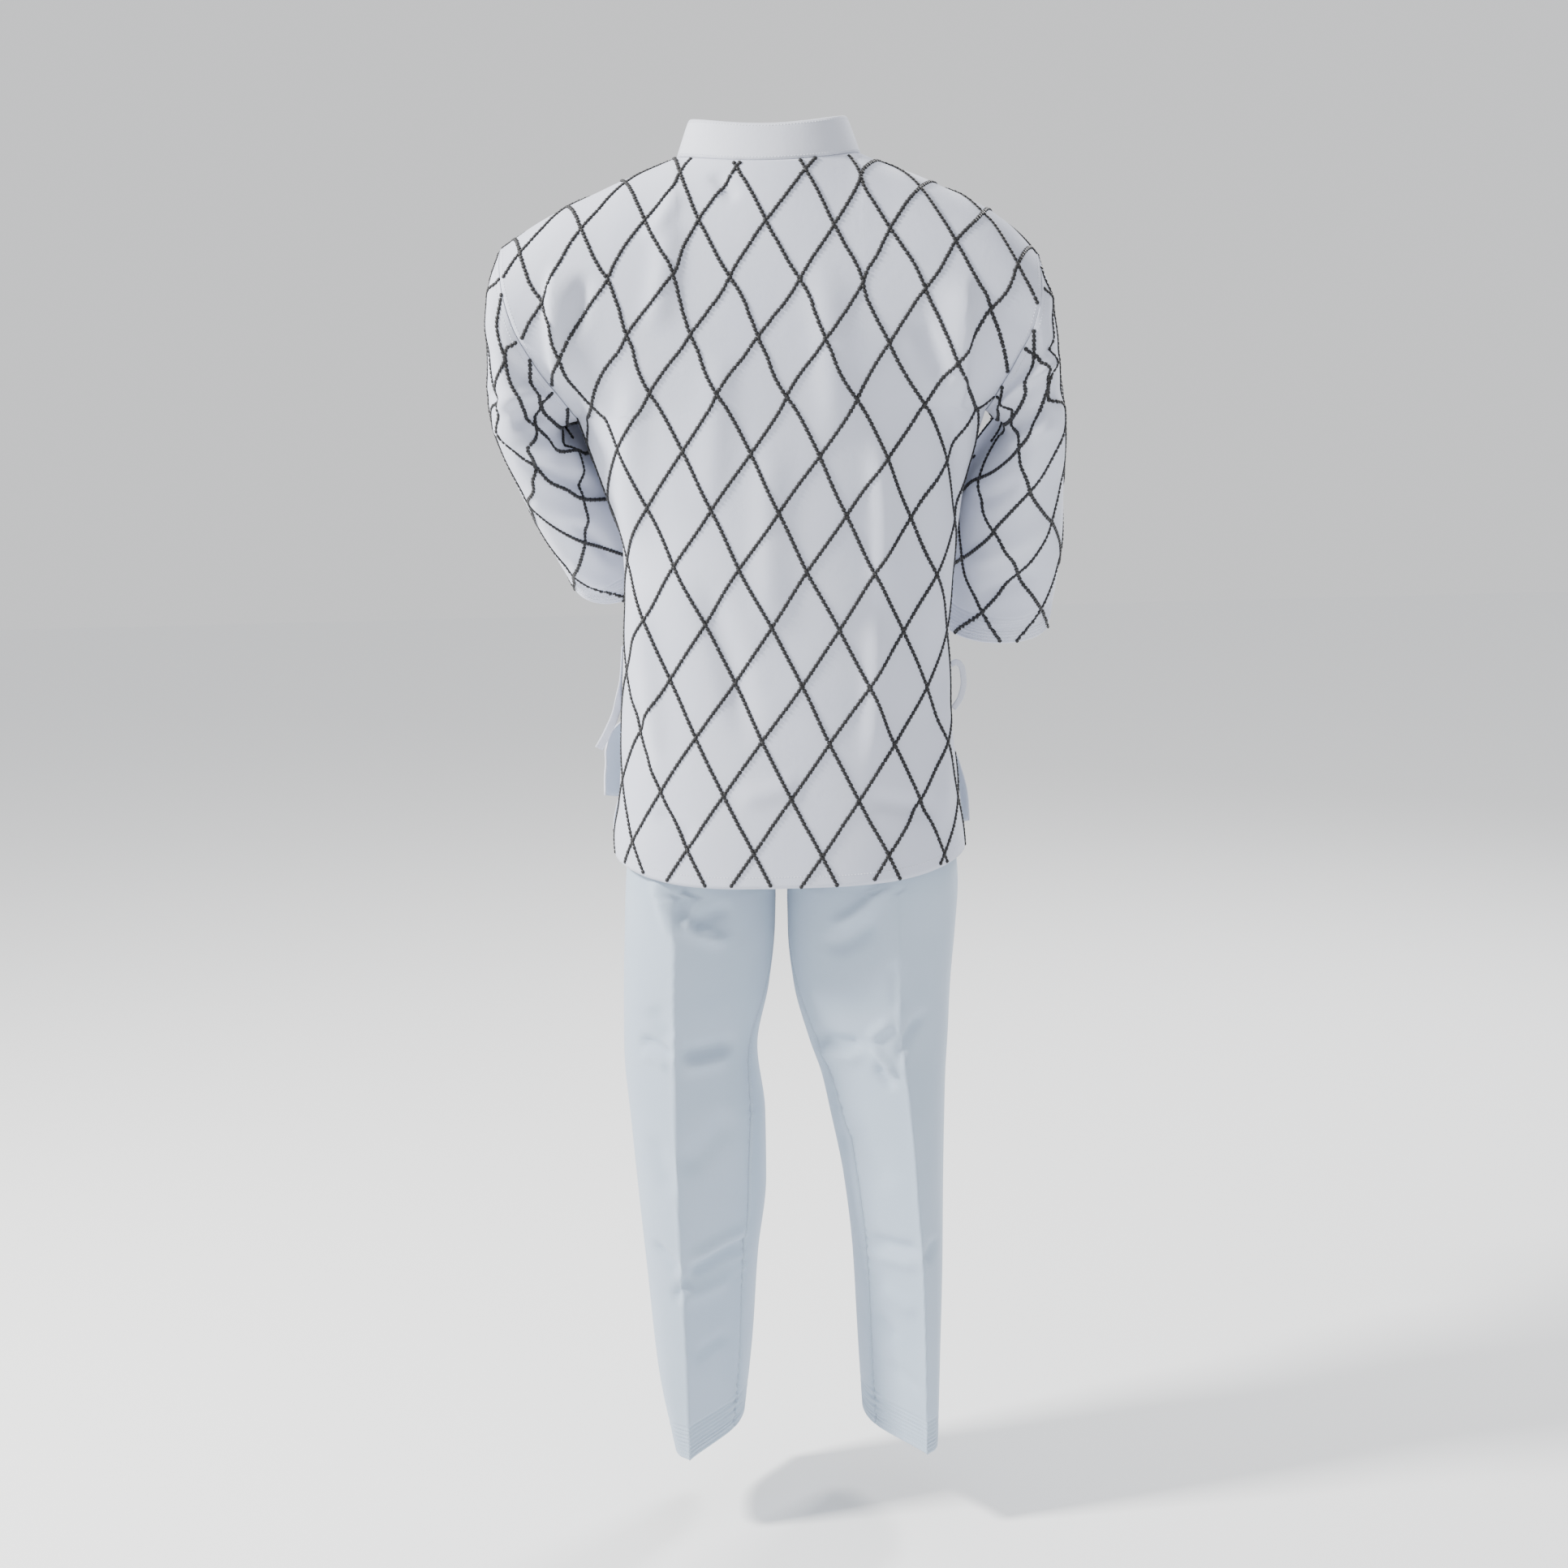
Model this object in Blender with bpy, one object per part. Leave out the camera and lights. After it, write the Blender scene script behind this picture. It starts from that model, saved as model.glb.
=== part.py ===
# Martial-arts uniform worn by an unseen figure: wrap jacket with standing collar band and ties, over plain trousers.
# Metres, +Z up.  The wearer faces +Y, so +X is the wearer's right.  The origin is the centre of the neck base.
import bpy
import numpy as np

PI = np.pi
JACKET_WALL = 0.0015
BAND_WALL = 0.0026
TROUSER_WALL = 0.0014
TAPE_WALL = 0.0012
SEAM_GAP = 0.0003

# Jacket sizes
UNDERARM_Z = -0.232
NECK_HALF = 0.0975
NECK_SIDE_Z = 0.040
NECK_BACK_DIP = 0.012
NECK_BACK_SHARE = 0.62
HEM_Z = -0.729
HEM_SIDE_RISE = 0.022
VENT_TOP_Z = -0.50
SIDE_ROUND = 2.5
SHOULDER_ROUND = 2.4
LAYER_LIFT = 0.0040
BAND_WIDE = 0.041

VENT_TURN = 0.42
UNDER_SPREAD = 0.040
OVER_FLARE = np.array([-0.020, 0.0, 0.0])
UNDER_FLARE = np.array([0.026, 0.0, 0.020])
UNDER_SWING = np.array([-0.032, -0.038, 0.0])
UNDER_RISE = np.array([0.0, 0.0, 0.066])

# Half-widths of the body, wearer's left and right: height, left, right
BODY_WIDTH = (
    (-0.740, 0.186, 0.200),
    (-0.690, 0.189, 0.198),
    (-0.650, 0.183, 0.194),
    (-0.600, 0.179, 0.189),
    (-0.550, 0.176, 0.185),
    (-0.480, 0.172, 0.185),
    (-0.420, 0.168, 0.188),
    (-0.370, 0.169, 0.194),
    (-0.310, 0.187, 0.203),
    (-0.260, 0.203, 0.218),
    (-0.232, 0.212, 0.227),
)
# Armhole seam: share of its height, half-width left and right
ARMHOLE_WIDTH = (
    (0.00, 0.212, 0.227),
    (0.10, 0.226, 0.238),
    (0.25, 0.247, 0.253),
    (0.50, 0.270, 0.272),
    (0.75, 0.281, 0.280),
    (1.00, 0.286, 0.281),
)
# Shoulder line: distance from the middle, height on the wearer's left, on the right
SHOULDER_LINE = (
    (0.0975, 0.040, 0.040),
    (0.120, 0.031, 0.030),
    (0.155, 0.018, 0.017),
    (0.185, 0.005, 0.003),
    (0.215, -0.008, -0.011),
    (0.250, -0.026, -0.034),
    (0.286, -0.050, -0.072),
)
# Depth of the body: height, back, front
BODY_DEPTH = (
    (-0.740, 0.128, 0.132),
    (-0.600, 0.120, 0.126),
    (-0.450, 0.112, 0.120),
    (-0.300, 0.112, 0.120),
    (-0.150, 0.116, 0.118),
    (0.050, 0.116, 0.112),
)
# Front edge of a wrapped front: share of the height above the underarm (below it: height), distance past the middle
EDGE_HIGH = (
    (0.00, 0.030),
    (0.30, -0.012),
    (0.55, -0.048),
    (0.80, -0.078),
    (0.93, -0.092),
    (1.00, -0.0975),
)
EDGE_LOW = (
    (-0.740, 0.112),
    (-0.460, 0.112),
    (-0.380, 0.096),
    (-0.300, 0.063),
    (-0.232, 0.030),
)
# Sleeve loops: run, centre x, y, z, half-width, its tilt, half-depth, its tilt (degrees)
SLEEVE_LEFT = (
    (0.00, 0.247, 0.000, -0.143, 0.094, 66.0, 0.088, 0.0),
    (0.18, 0.259, 0.002, -0.161, 0.082, 62.0, 0.088, 8.0),
    (0.36, 0.268, 0.006, -0.212, 0.050, 38.0, 0.087, 20.0),
    (0.54, 0.247, 0.038, -0.266, 0.049, 8.0, 0.080, 42.0),
    (0.76, 0.216, 0.098, -0.338, 0.050, -4.0, 0.068, 48.0),
    (1.00, 0.188, 0.150, -0.402, 0.052, -8.0, 0.056, 42.0),
)
SLEEVE_RIGHT = (
    (0.00, 0.250, 0.000, -0.148, 0.094, 64.0, 0.088, 0.0),
    (0.18, 0.262, 0.002, -0.170, 0.081, 60.0, 0.088, 8.0),
    (0.36, 0.276, 0.006, -0.226, 0.046, 38.0, 0.086, 20.0),
    (0.54, 0.262, 0.036, -0.292, 0.055, 8.0, 0.076, 34.0),
    (0.76, 0.256, 0.080, -0.384, 0.062, 0.0, 0.062, 32.0),
    (1.00, 0.247, 0.120, -0.470, 0.062, -2.0, 0.052, 26.0),
)

# Trouser sizes
WAIST_Z = -0.430
WAISTBAND_DEEP = 0.042
CROTCH_Z = -0.745
TROUSER_HEM_Z = -1.386
# How far the inner seam lies in front of the outer one at the hem
LEG_TURN = 0.08
# How flat the pressed leg lies beside its creases: height, share
CREASE_FLAT = (
    (-1.386, 0.50),
    (-1.300, 0.45),
    (-1.150, 0.40),
    (-0.800, 0.36),
    (-0.720, 0.10),
    (-0.430, 0.00),
)
# Legs: height, outer, inner, back crease, front crease (from the middle), depth behind, depth in front
LEG_LEFT = (
    (-0.430, 0.150, 0.000, 0.080, 0.080, 0.082, 0.084),
    (-0.560, 0.160, 0.000, 0.100, 0.092, 0.090, 0.088),
    (-0.660, 0.170, 0.000, 0.115, 0.100, 0.094, 0.090),
    (-0.745, 0.179, 0.011, 0.122, 0.104, 0.097, 0.092),
    (-0.800, 0.182, 0.014, 0.123, 0.104, 0.098, 0.098),
    (-0.860, 0.185, 0.022, 0.125, 0.104, 0.096, 0.096),
    (-0.935, 0.187, 0.037, 0.127, 0.106, 0.090, 0.096),
    (-1.010, 0.182, 0.030, 0.128, 0.106, 0.092, 0.092),
    (-1.090, 0.176, 0.031, 0.128, 0.104, 0.092, 0.088),
    (-1.185, 0.168, 0.043, 0.126, 0.100, 0.091, 0.086),
    (-1.290, 0.159, 0.052, 0.124, 0.094, 0.090, 0.084),
    (-1.386, 0.142, 0.064, 0.124, 0.088, 0.088, 0.082),
)
LEG_RIGHT = (
    (-0.430, 0.158, 0.000, 0.080, 0.080, 0.082, 0.084),
    (-0.560, 0.170, 0.000, 0.100, 0.092, 0.090, 0.088),
    (-0.660, 0.182, 0.000, 0.115, 0.100, 0.094, 0.090),
    (-0.745, 0.191, 0.000, 0.120, 0.104, 0.097, 0.092),
    (-0.800, 0.187, 0.000, 0.120, 0.104, 0.098, 0.098),
    (-0.860, 0.181, 0.005, 0.120, 0.105, 0.096, 0.096),
    (-0.925, 0.177, 0.021, 0.123, 0.107, 0.090, 0.096),
    (-0.965, 0.174, 0.034, 0.128, 0.109, 0.091, 0.094),
    (-1.010, 0.172, 0.043, 0.132, 0.110, 0.092, 0.092),
    (-1.090, 0.169, 0.057, 0.137, 0.112, 0.092, 0.088),
    (-1.185, 0.166, 0.066, 0.142, 0.112, 0.091, 0.086),
    (-1.290, 0.161, 0.070, 0.143, 0.110, 0.090, 0.084),
    (-1.386, 0.157, 0.074, 0.143, 0.106, 0.088, 0.082),
)


def curve(table, at, column=1):
    """Smooth value of one column of a table at the given places of its first column, without overshoot."""
    rows = np.array(table, float)
    x = rows[:, 0]
    y = rows[:, column]
    step = np.diff(x)
    slope = np.diff(y) / step
    lean = np.zeros_like(y)
    both = slope[1:] * slope[:-1]
    safe = np.where(both > 0, slope[1:] + slope[:-1], 1.0)
    lean[1:-1] = np.where(both > 0, 2 * both / safe, 0.0)
    lean[0] = slope[0]
    lean[-1] = slope[-1]
    at = np.clip(np.asarray(at, float), x[0], x[-1])
    k = np.clip(np.searchsorted(x, at) - 1, 0, len(x) - 2)
    h = step[k]
    t = (at - x[k]) / h
    u = 1 - t
    return (u * u * (1 + 2 * t) * y[k] + t * t * (3 - 2 * t) * y[k + 1]
            + h * t * u * (u * lean[k] - t * lean[k + 1]))


def ease(value, low, high):
    """Zero below low, one above high, smooth between."""
    t = np.clip((value - low) / (high - low), 0.0, 1.0)
    return t * t * (3 - 2 * t)


def power(value, exponent):
    """Power that keeps the sign."""
    return np.sign(value) * np.abs(value) ** exponent


def body_point(turn, level, front_high=False):
    """Point of the jacket body.

    turn: angle round the body, 0 at the left side, pi at the right side, front positive, back negative.
    level: -1 at the hem, 0 at the underarm, 1 at the shoulder line or the back neckline.
    The section is a rounded oval; above the underarm it opens at the armholes and rolls over to the shoulder line.
    """
    share = -power(np.cos(turn), 2 / SIDE_ROUND)
    low = np.clip(level, -2, 0)
    high = np.clip(level, 0, 2)
    hem = HEM_Z + HEM_SIDE_RISE * np.abs(share) ** 4
    lean = PI / 2 * high ** 1.25
    wide_l = curve(BODY_WIDTH, UNDERARM_Z + (UNDERARM_Z - hem) * low, 1)
    wide_r = curve(BODY_WIDTH, UNDERARM_Z + (UNDERARM_Z - hem) * low, 2)
    tall = power(np.sin(lean), 2 / SHOULDER_ROUND)
    arm_l = curve(ARMHOLE_WIDTH, tall, 1)
    arm_r = curve(ARMHOLE_WIDTH, tall, 2)
    wide = np.where(share < 0, np.where(level > 0, arm_l, wide_l), np.where(level > 0, arm_r, wide_r))
    x = share * wide
    near = np.clip(1 - (x / NECK_HALF) ** 2, 0, 1)
    line = np.where(x < 0, curve(SHOULDER_LINE, np.abs(x), 1), curve(SHOULDER_LINE, np.abs(x), 2))
    if front_high:
        top = line
    else:
        stop = np.arccos((NECK_BACK_SHARE * np.sqrt(near)) ** (SHOULDER_ROUND / 2))
        lean = lean * stop / (PI / 2)
        tall = power(np.sin(lean), 2 / SHOULDER_ROUND)
        top = UNDERARM_Z + (line - NECK_BACK_DIP * near - UNDERARM_Z) / np.sin(stop) ** (2 / SHOULDER_ROUND)
    roll = power(np.cos(lean), 2 / SHOULDER_ROUND)
    z = np.where(level > 0, UNDERARM_Z + (top - UNDERARM_Z) * tall, UNDERARM_Z + (UNDERARM_Z - hem) * low)
    arm = np.sqrt(np.clip(1 - (1 - np.clip(tall, 0, 1)) ** 2, 0, 1))
    part = (np.sin(turn) ** 2 + np.cos(turn) ** 2 * arm ** SIDE_ROUND) ** (1 / SIDE_ROUND)
    depth = np.where(np.sin(turn) > 0, curve(BODY_DEPTH, z, 2), curve(BODY_DEPTH, z, 1))
    y = np.sign(np.sin(turn)) * depth * roll * part
    return np.stack([x, y, z], -1)


def unit(v):
    return v / np.maximum(np.linalg.norm(v, axis=-1, keepdims=True), 1e-12)


def normals(surface, us, vs, eps=0.004, closed_u=False):
    """Outward directions of a surface from small steps either way in its two parameters."""
    du = surface(us + eps, vs) - surface(us - eps, vs)
    dv = surface(us, vs + eps) - surface(us, vs - eps)
    return unit(np.cross(du, dv))


def cloth_object(name, verts, faces, tone):
    mesh = bpy.data.meshes.new(name)
    mesh.from_pydata([tuple(p) for p in verts], [], faces)
    mesh.update()
    obj = bpy.data.objects.new(name, mesh)
    bpy.context.scene.collection.objects.link(obj)
    material = bpy.data.materials.new(name + "_cloth")
    material.use_nodes = True
    shader = material.node_tree.nodes["Principled BSDF"]
    shader.inputs["Base Color"].default_value = (*tone, 1.0)
    shader.inputs["Roughness"].default_value = 0.85
    mesh.materials.append(material)
    mesh.polygons.foreach_set("use_smooth", [True] * len(mesh.polygons))
    return obj


def sheet_solid(name, outer, outward, wall, tone, ring=False):
    """Closed solid of one cloth wall: the outer grid, the same grid one wall further in, and the rims between."""
    rows, cols = outer.shape[:2]
    inner = outer - outward * wall
    verts = np.concatenate([outer.reshape(-1, 3), inner.reshape(-1, 3)])
    index = np.arange(rows * cols).reshape(rows, cols)
    if ring:
        index = np.concatenate([index, index[:, :1]], 1)
    below = index + rows * cols
    a, b, c, d = index[:-1, :-1], index[:-1, 1:], index[1:, 1:], index[1:, :-1]
    e, f, g, h = below[:-1, :-1], below[:-1, 1:], below[1:, 1:], below[1:, :-1]
    faces = [np.stack([a, b, c, d], -1).reshape(-1, 4), np.stack([e, h, g, f], -1).reshape(-1, 4)]

    def rim(top, under):
        faces.append(np.stack([top[1:], top[:-1], under[:-1], under[1:]], -1))

    rim(index[0], below[0])
    rim(index[-1][::-1], below[-1][::-1])
    if not ring:
        rim(index[::-1, 0], below[::-1, 0])
        rim(index[:, -1], below[:, -1])
    quads = np.concatenate(faces)
    across = outer[:-1, 1:] - outer[:-1, :-1]
    upward = outer[1:, :-1] - outer[:-1, :-1]
    if np.sum(np.cross(across, upward) * outward[:-1, :-1]) < 0:
        quads = quads[:, ::-1]
    return cloth_object(name, verts, quads.tolist(), tone)


def trim(grid, sides):
    """Moves the named edges of a grid half a seam gap towards its middle."""
    out = grid.copy()
    half = SEAM_GAP / 2 + 0.00002
    if "0" in sides:
        out[:, 0] += half * unit(grid[:, 1] - grid[:, 0])
    if "1" in sides:
        out[:, -1] += half * unit(grid[:, -2] - grid[:, -1])
    if "t" in sides:
        out[-1] += half * unit(grid[-2] - grid[-1])
    if "b" in sides:
        out[0] += half * unit(grid[1] - grid[0])
    return out


WHITE = (0.80, 0.83, 0.90)
BLUISH = (0.72, 0.79, 0.86)

for thing in list(bpy.data.objects):
    bpy.data.objects.remove(thing, do_unlink=True)

# Back panel: from the left side seam and armhole round the back to the right ones
BODY_LEVELS = np.concatenate([np.linspace(-1, -0.09, 12), np.linspace(0, 1, 9)])


def back_surface(turn, level):
    return body_point(np.clip(turn, -PI + 1e-4, -1e-4), level)


NECK_STEPS = np.array([-1.0, -0.97, -0.88, -0.70, -0.38])
NECK_RUNS = np.concatenate([NECK_STEPS, [0.0], -NECK_STEPS[::-1]])
NECK_SHARES = NECK_RUNS * NECK_HALF / np.where(NECK_RUNS < 0, ARMHOLE_WIDTH[-1][1], ARMHOLE_WIDTH[-1][2])
SIDE_SHARES = np.cos(np.linspace(0, 1.12, 6))
shares = np.concatenate([-SIDE_SHARES, NECK_SHARES, SIDE_SHARES[::-1]])
TURN, LEVEL = np.meshgrid(-np.arccos(-power(shares, SIDE_ROUND / 2)), BODY_LEVELS)
back = back_surface(TURN, LEVEL)
back_out = -normals(back_surface, TURN, LEVEL)
sheet_solid("jacket_back", trim(back, "01t"), back_out, JACKET_WALL, WHITE)


def front_base(across, level, side):
    """A wrapped front without its layer: across is 0 at its own side seam and 1 at its front edge."""
    lean = PI / 2 * np.clip(level, 0, 1) ** 1.25
    tall = np.sin(lean) ** (2 / SHOULDER_ROUND)
    z = UNDERARM_Z + (UNDERARM_Z - HEM_Z) * np.clip(level, -1, 0)
    past = np.where(level > 0, curve(EDGE_HIGH, tall), curve(EDGE_LOW, z))
    if side > 0:
        past = past + UNDER_SPREAD * ease(-z, 0.57, 0.66)
    x = -side * past
    far = np.where(level > 0, curve(ARMHOLE_WIDTH, tall, 2), curve(BODY_WIDTH, z, 2))
    near = np.where(level > 0, curve(ARMHOLE_WIDTH, tall, 1), curve(BODY_WIDTH, z, 1))
    share = x / np.where(x > 0, far, near)
    end = np.arccos(-power(share, SIDE_ROUND / 2))
    open_vent = VENT_TURN * ease(-z, 0.47, 0.58)
    if side < 0:
        turn = open_vent + np.clip(across, 1e-5, 2) * (end - open_vent)
    else:
        turn = PI - open_vent - np.clip(across, 1e-5, 2) * (PI - open_vent - end)
    point = body_point(turn, level, True)
    low = ease(-point[..., 2], 0.52, 0.69)
    if side < 0:
        point = point + OVER_FLARE * (low * (1 - ease(across, 0, 0.3)))[..., None]
    else:
        point = point + UNDER_FLARE * (low * (1 - ease(across, 0, 0.3)))[..., None]
        swing = ease(across, 0.70, 1.0)
        point = point + UNDER_SWING * (swing * ease(-point[..., 2], 0.56, 0.64))[..., None]
        point = point + UNDER_RISE * (swing * ease(-point[..., 2], 0.45, 0.73))[..., None]
    return point


def front_point(across, level, side):
    """A wrapped front with its layer: the wearer's left one lies over the right one."""
    base = front_base(across, level, side)
    out = -side * -normals(lambda a, b: front_base(a, b, side), across, level)
    lift = -side * LAYER_LIFT * ease(across, 0.0, 0.4) * (1 - ease(level, 0.55, 1.0))
    return base + out * lift[..., None], out


for side, name in ((-1, "jacket_front_left"), (1, "jacket_front_right")):
    ACROSS, LEVEL = np.meshgrid(np.linspace(0, 1, 13) ** 1.15, BODY_LEVELS)
    grid, out = front_point(ACROSS, LEVEL, side)
    sheet_solid(name, trim(grid, "01t"), out, JACKET_WALL, WHITE)


def sleeve_seam(turn, side):
    """Armhole seam: turn 0 at the shoulder, a quarter at the back, a half under the arm."""
    turn = np.mod(turn, 2 * PI)
    tall = np.clip((1 + np.cos(turn)) / 2, 1e-9, 1)
    level = (np.arcsin(tall ** (SHOULDER_ROUND / 2)) * 2 / PI) ** 0.8
    where = np.where(turn < PI, -1e-4, 1e-4)
    if side > 0:
        where = np.where(turn < PI, -PI + 1e-4, PI - 1e-4)
    return body_point(where, level)


def sleeve_point(turn, run, side):
    """Sleeve skin: loops set by the table, blended out of the armhole seam over its first third."""
    table = SLEEVE_LEFT if side < 0 else SLEEVE_RIGHT
    cx, cy, cz, wide, wide_tilt, deep, deep_tilt = (curve(table, run, k) for k in range(1, 8))
    wide_tilt = np.radians(wide_tilt)
    deep_tilt = np.radians(deep_tilt)
    c = np.cos(turn)
    s = np.sin(turn)
    x = cx + wide * np.cos(wide_tilt) * c
    y = cy - deep * np.cos(deep_tilt) * s
    z = cz + wide * np.sin(wide_tilt) * c - deep * np.sin(deep_tilt) * s
    ring = np.stack([side * x, y, z], -1)
    seam = sleeve_seam(turn, side) + np.array([side * 0.0006, 0.0, -0.0002])
    first = np.array(table[0][1:])
    tilt = np.radians(first[4])
    start = np.stack([side * (first[0] + first[3] * np.cos(tilt) * c), first[1] - first[5] * s,
                      first[2] + first[3] * np.sin(tilt) * c], -1)
    return ring + (seam - start) * (1 - ease(run, 0.0, 0.6))[..., None]


for side, name in ((-1, "sleeve_left"), (1, "sleeve_right")):
    TURN, RUN = np.meshgrid(np.linspace(0, 2 * PI, 21)[:-1], np.linspace(0, 1, 16))
    skin = sleeve_point(TURN, RUN, side)
    out = side * normals(lambda a, b: sleeve_point(a, b, side), TURN, RUN, 0.01)
    axis = np.array([side * 0.91, 0.0, -0.41])
    out[0] = unit(out[0] - (out[0] @ axis)[:, None] * axis)
    sheet_solid(name, skin, out, JACKET_WALL, WHITE, ring=True)


def band_line(run):
    """Seam line of the collar band, from the left hem (-3) up to the left neck point (-1), round the back of the
    neck to the right neck point (1) and down to the right hem (3); with the way the band stands off it."""
    run = np.asarray(run, float)
    out = np.zeros(run.shape + (3,))
    lie = np.zeros(run.shape + (3,))
    for side in (-1, 1):
        pick = run * side > 1
        level = 1 - np.clip(side * run[pick] - 1, 0, 2)
        line, facing = front_point(np.ones_like(level), level, side)
        out[pick] = line
        lie[pick] = facing
    pick = np.abs(run) <= 1
    share = NECK_HALF * run[pick] / np.where(run[pick] < 0, ARMHOLE_WIDTH[-1][1], ARMHOLE_WIDTH[-1][2])
    turn = -np.arccos(-power(share, SIDE_ROUND / 2))
    out[pick] = body_point(turn, np.ones_like(turn))
    lie[pick] = np.array([0, 0, 1.0])
    return out, lie


def band_point(run, across):
    """Skin of the band: across is 0 at its seam and 1 at its free edge.  Round the neck it stands and leans inward;
    down the fronts it lies on, following the same surface as the front it is sewn to."""
    line, facing = band_line(run)
    inward = unit(np.array([0.0, 0.01, 0.0]) - line * np.array([1.0, 1.0, 0.0]))
    stand = unit(np.array([0.0, 0.0, 1.0]) + 0.36 * inward)
    reach = 0.0004 + across * BAND_WIDE
    point = line + stand * reach[..., None]
    for side in (-1, 1):
        pick = run * side > 1
        level = np.clip(2 - side * run[pick], -1, 1)
        edge = front_base(np.ones_like(level), level, side)
        before = front_base(0.95 * np.ones_like(level), level, side)
        above = front_base(np.ones_like(level), level + 0.02, side)
        below = front_base(np.ones_like(level), level - 0.02, side)
        level_way = unit(edge - before)
        slant = np.linalg.norm(np.cross(level_way, unit(above - below)), axis=-1)
        share = reach[pick] / np.maximum(slant, 0.6) / (np.linalg.norm(edge - before, axis=-1) / 0.05)
        laid, _ = front_point(1 + share, level, side)
        lying = ease(1 - level, 0.05, 0.62)[..., None]
        point[pick] = point[pick] * (1 - lying) + laid * lying
    return point


BAND_HALF = 2 - BODY_LEVELS[:-1]
RUN = np.concatenate([-BAND_HALF, NECK_RUNS, BAND_HALF[::-1]])
ACROSS, RUNS = np.meshgrid(np.array([0.0, 0.5, 1.0]), RUN)
band = band_point(RUNS, ACROSS)
ways = band_point(RUNS, ACROSS + 0.02) - band_point(RUNS, ACROSS)
along = band_point(RUNS + 0.02, ACROSS) - band_point(RUNS - 0.02, ACROSS)
out = unit(np.cross(along, ways))
sheet_solid("collar_band", band + out * 0.0005, out, BAND_WALL, WHITE)


def leg_point(turn, z, side):
    """Trouser leg: turn 0 at the side seam, a quarter at the front crease, a half at the inner seam, back negative."""
    table = LEG_LEFT if side < 0 else LEG_RIGHT
    outer, inner, crease_back, crease_front, deep_back, deep_front = (curve(table[::-1], z, k) for k in range(1, 7))
    front = turn > 0
    seat = np.clip((z - CROTCH_Z) / 0.13, 0, 1)
    seat = np.sqrt(1 - (1 - seat) ** 2) * 0.985
    t = np.abs(turn)
    over = t > PI
    t = np.where(over, np.where(seat > 0, PI, 2 * PI - t), t)
    sign = np.where(over & (seat <= 0), -1.0, 1.0) * np.where(front, 1.0, -1.0)
    front = sign > 0
    crease = np.where(front, crease_front, crease_back)
    deep = np.where(front, deep_front, deep_back)
    c = np.cos(t)
    s = np.abs(np.sin(t))
    away = np.where(c > 0, outer - crease, inner - crease + 0.0002)
    x = crease + away * np.abs(c)
    stay = np.where(c < 0, seat, 0.0)
    full = np.where(c < 0, 1 + np.clip(stay / 0.35, 0, 1), 1.0)
    rise = s ** full
    straight = 1 - np.abs(c)
    rise = rise + curve(CREASE_FLAT, z) * s ** 2 * (straight - rise) * (1 - stay)
    y = sign * deep * (stay + (1 - stay) * rise)
    y = y - LEG_TURN * np.where(c > 0, 0.4, 0.6) * c * ease(-z, 0.95, 1.386)
    return np.stack([side * x, y, z + 0 * x], -1)


LEG_HEIGHTS = np.concatenate([np.linspace(-0.4725, CROTCH_Z + 0.03, 7), [CROTCH_Z],
                              np.linspace(CROTCH_Z - 0.03, TROUSER_HEM_Z, 18)])
for side, where in ((-1, "left"), (1, "right")):
    for face, part in ((-1, "back"), (1, "front")):
        TURN, HIGH = np.meshgrid(face * np.linspace(0, PI, 11), LEG_HEIGHTS)
        leg = leg_point(TURN, HIGH, side)
        du = leg_point(TURN + 0.1, HIGH, side) - leg_point(TURN - 0.1, HIGH, side)
        dv = leg_point(TURN, HIGH + 0.01, side) - leg_point(TURN, HIGH - 0.01, side)
        out = unit(np.cross(du, dv)) * -side
        sheet_solid("trouser_" + part + "_" + where, trim(leg, "01"), out, TROUSER_WALL, BLUISH)

# Waistband: one loop just above the legs
loop = []
for side, spread in ((1, 1), (-1, -1)):
    turns = np.linspace(PI, -PI, 23)[1:-1] if side > 0 else np.linspace(-PI, PI, 23)[1:-1]
    loop.append(leg_point(turns, np.full_like(turns, -0.472), side))
loop = np.concatenate(loop)
high = np.array([-0.4715, -0.450, WAIST_Z])
rows = np.stack([loop * np.array([1, 1, 0]) + np.array([0, 0, h]) for h in high])
side_way = np.roll(rows, -1, 1) - np.roll(rows, 1, 1)
out = unit(np.cross(np.array([0, 0, 1.0]), side_way))
sheet_solid("waistband", rows + out * 0.0006, out, 0.0026, BLUISH, ring=True)


def tape(name, path, across, wide, tone):
    """Flat tape along a path; across gives the direction of its width at each point."""
    path = np.array(path, float)
    t = np.linspace(0, 1, len(path))
    fine = np.linspace(0, 1, 3 * len(path) - 2)
    line = np.stack([curve(np.stack([t, path[:, k]], 1), fine) for k in range(3)], -1)
    over = np.array(across, float)
    over = unit(np.stack([curve(np.stack([t, over[:, k]], 1), fine) for k in range(3)], -1))
    along = unit(np.gradient(line, axis=0))
    out = unit(np.cross(along, over))
    over = np.cross(out, along)
    grid = np.stack([line - over * wide / 2, line + over * wide / 2], 1) + out[:, None] * TAPE_WALL / 2
    return sheet_solid(name, grid, np.repeat(out[:, None], 2, 1), TAPE_WALL, tone)


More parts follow.
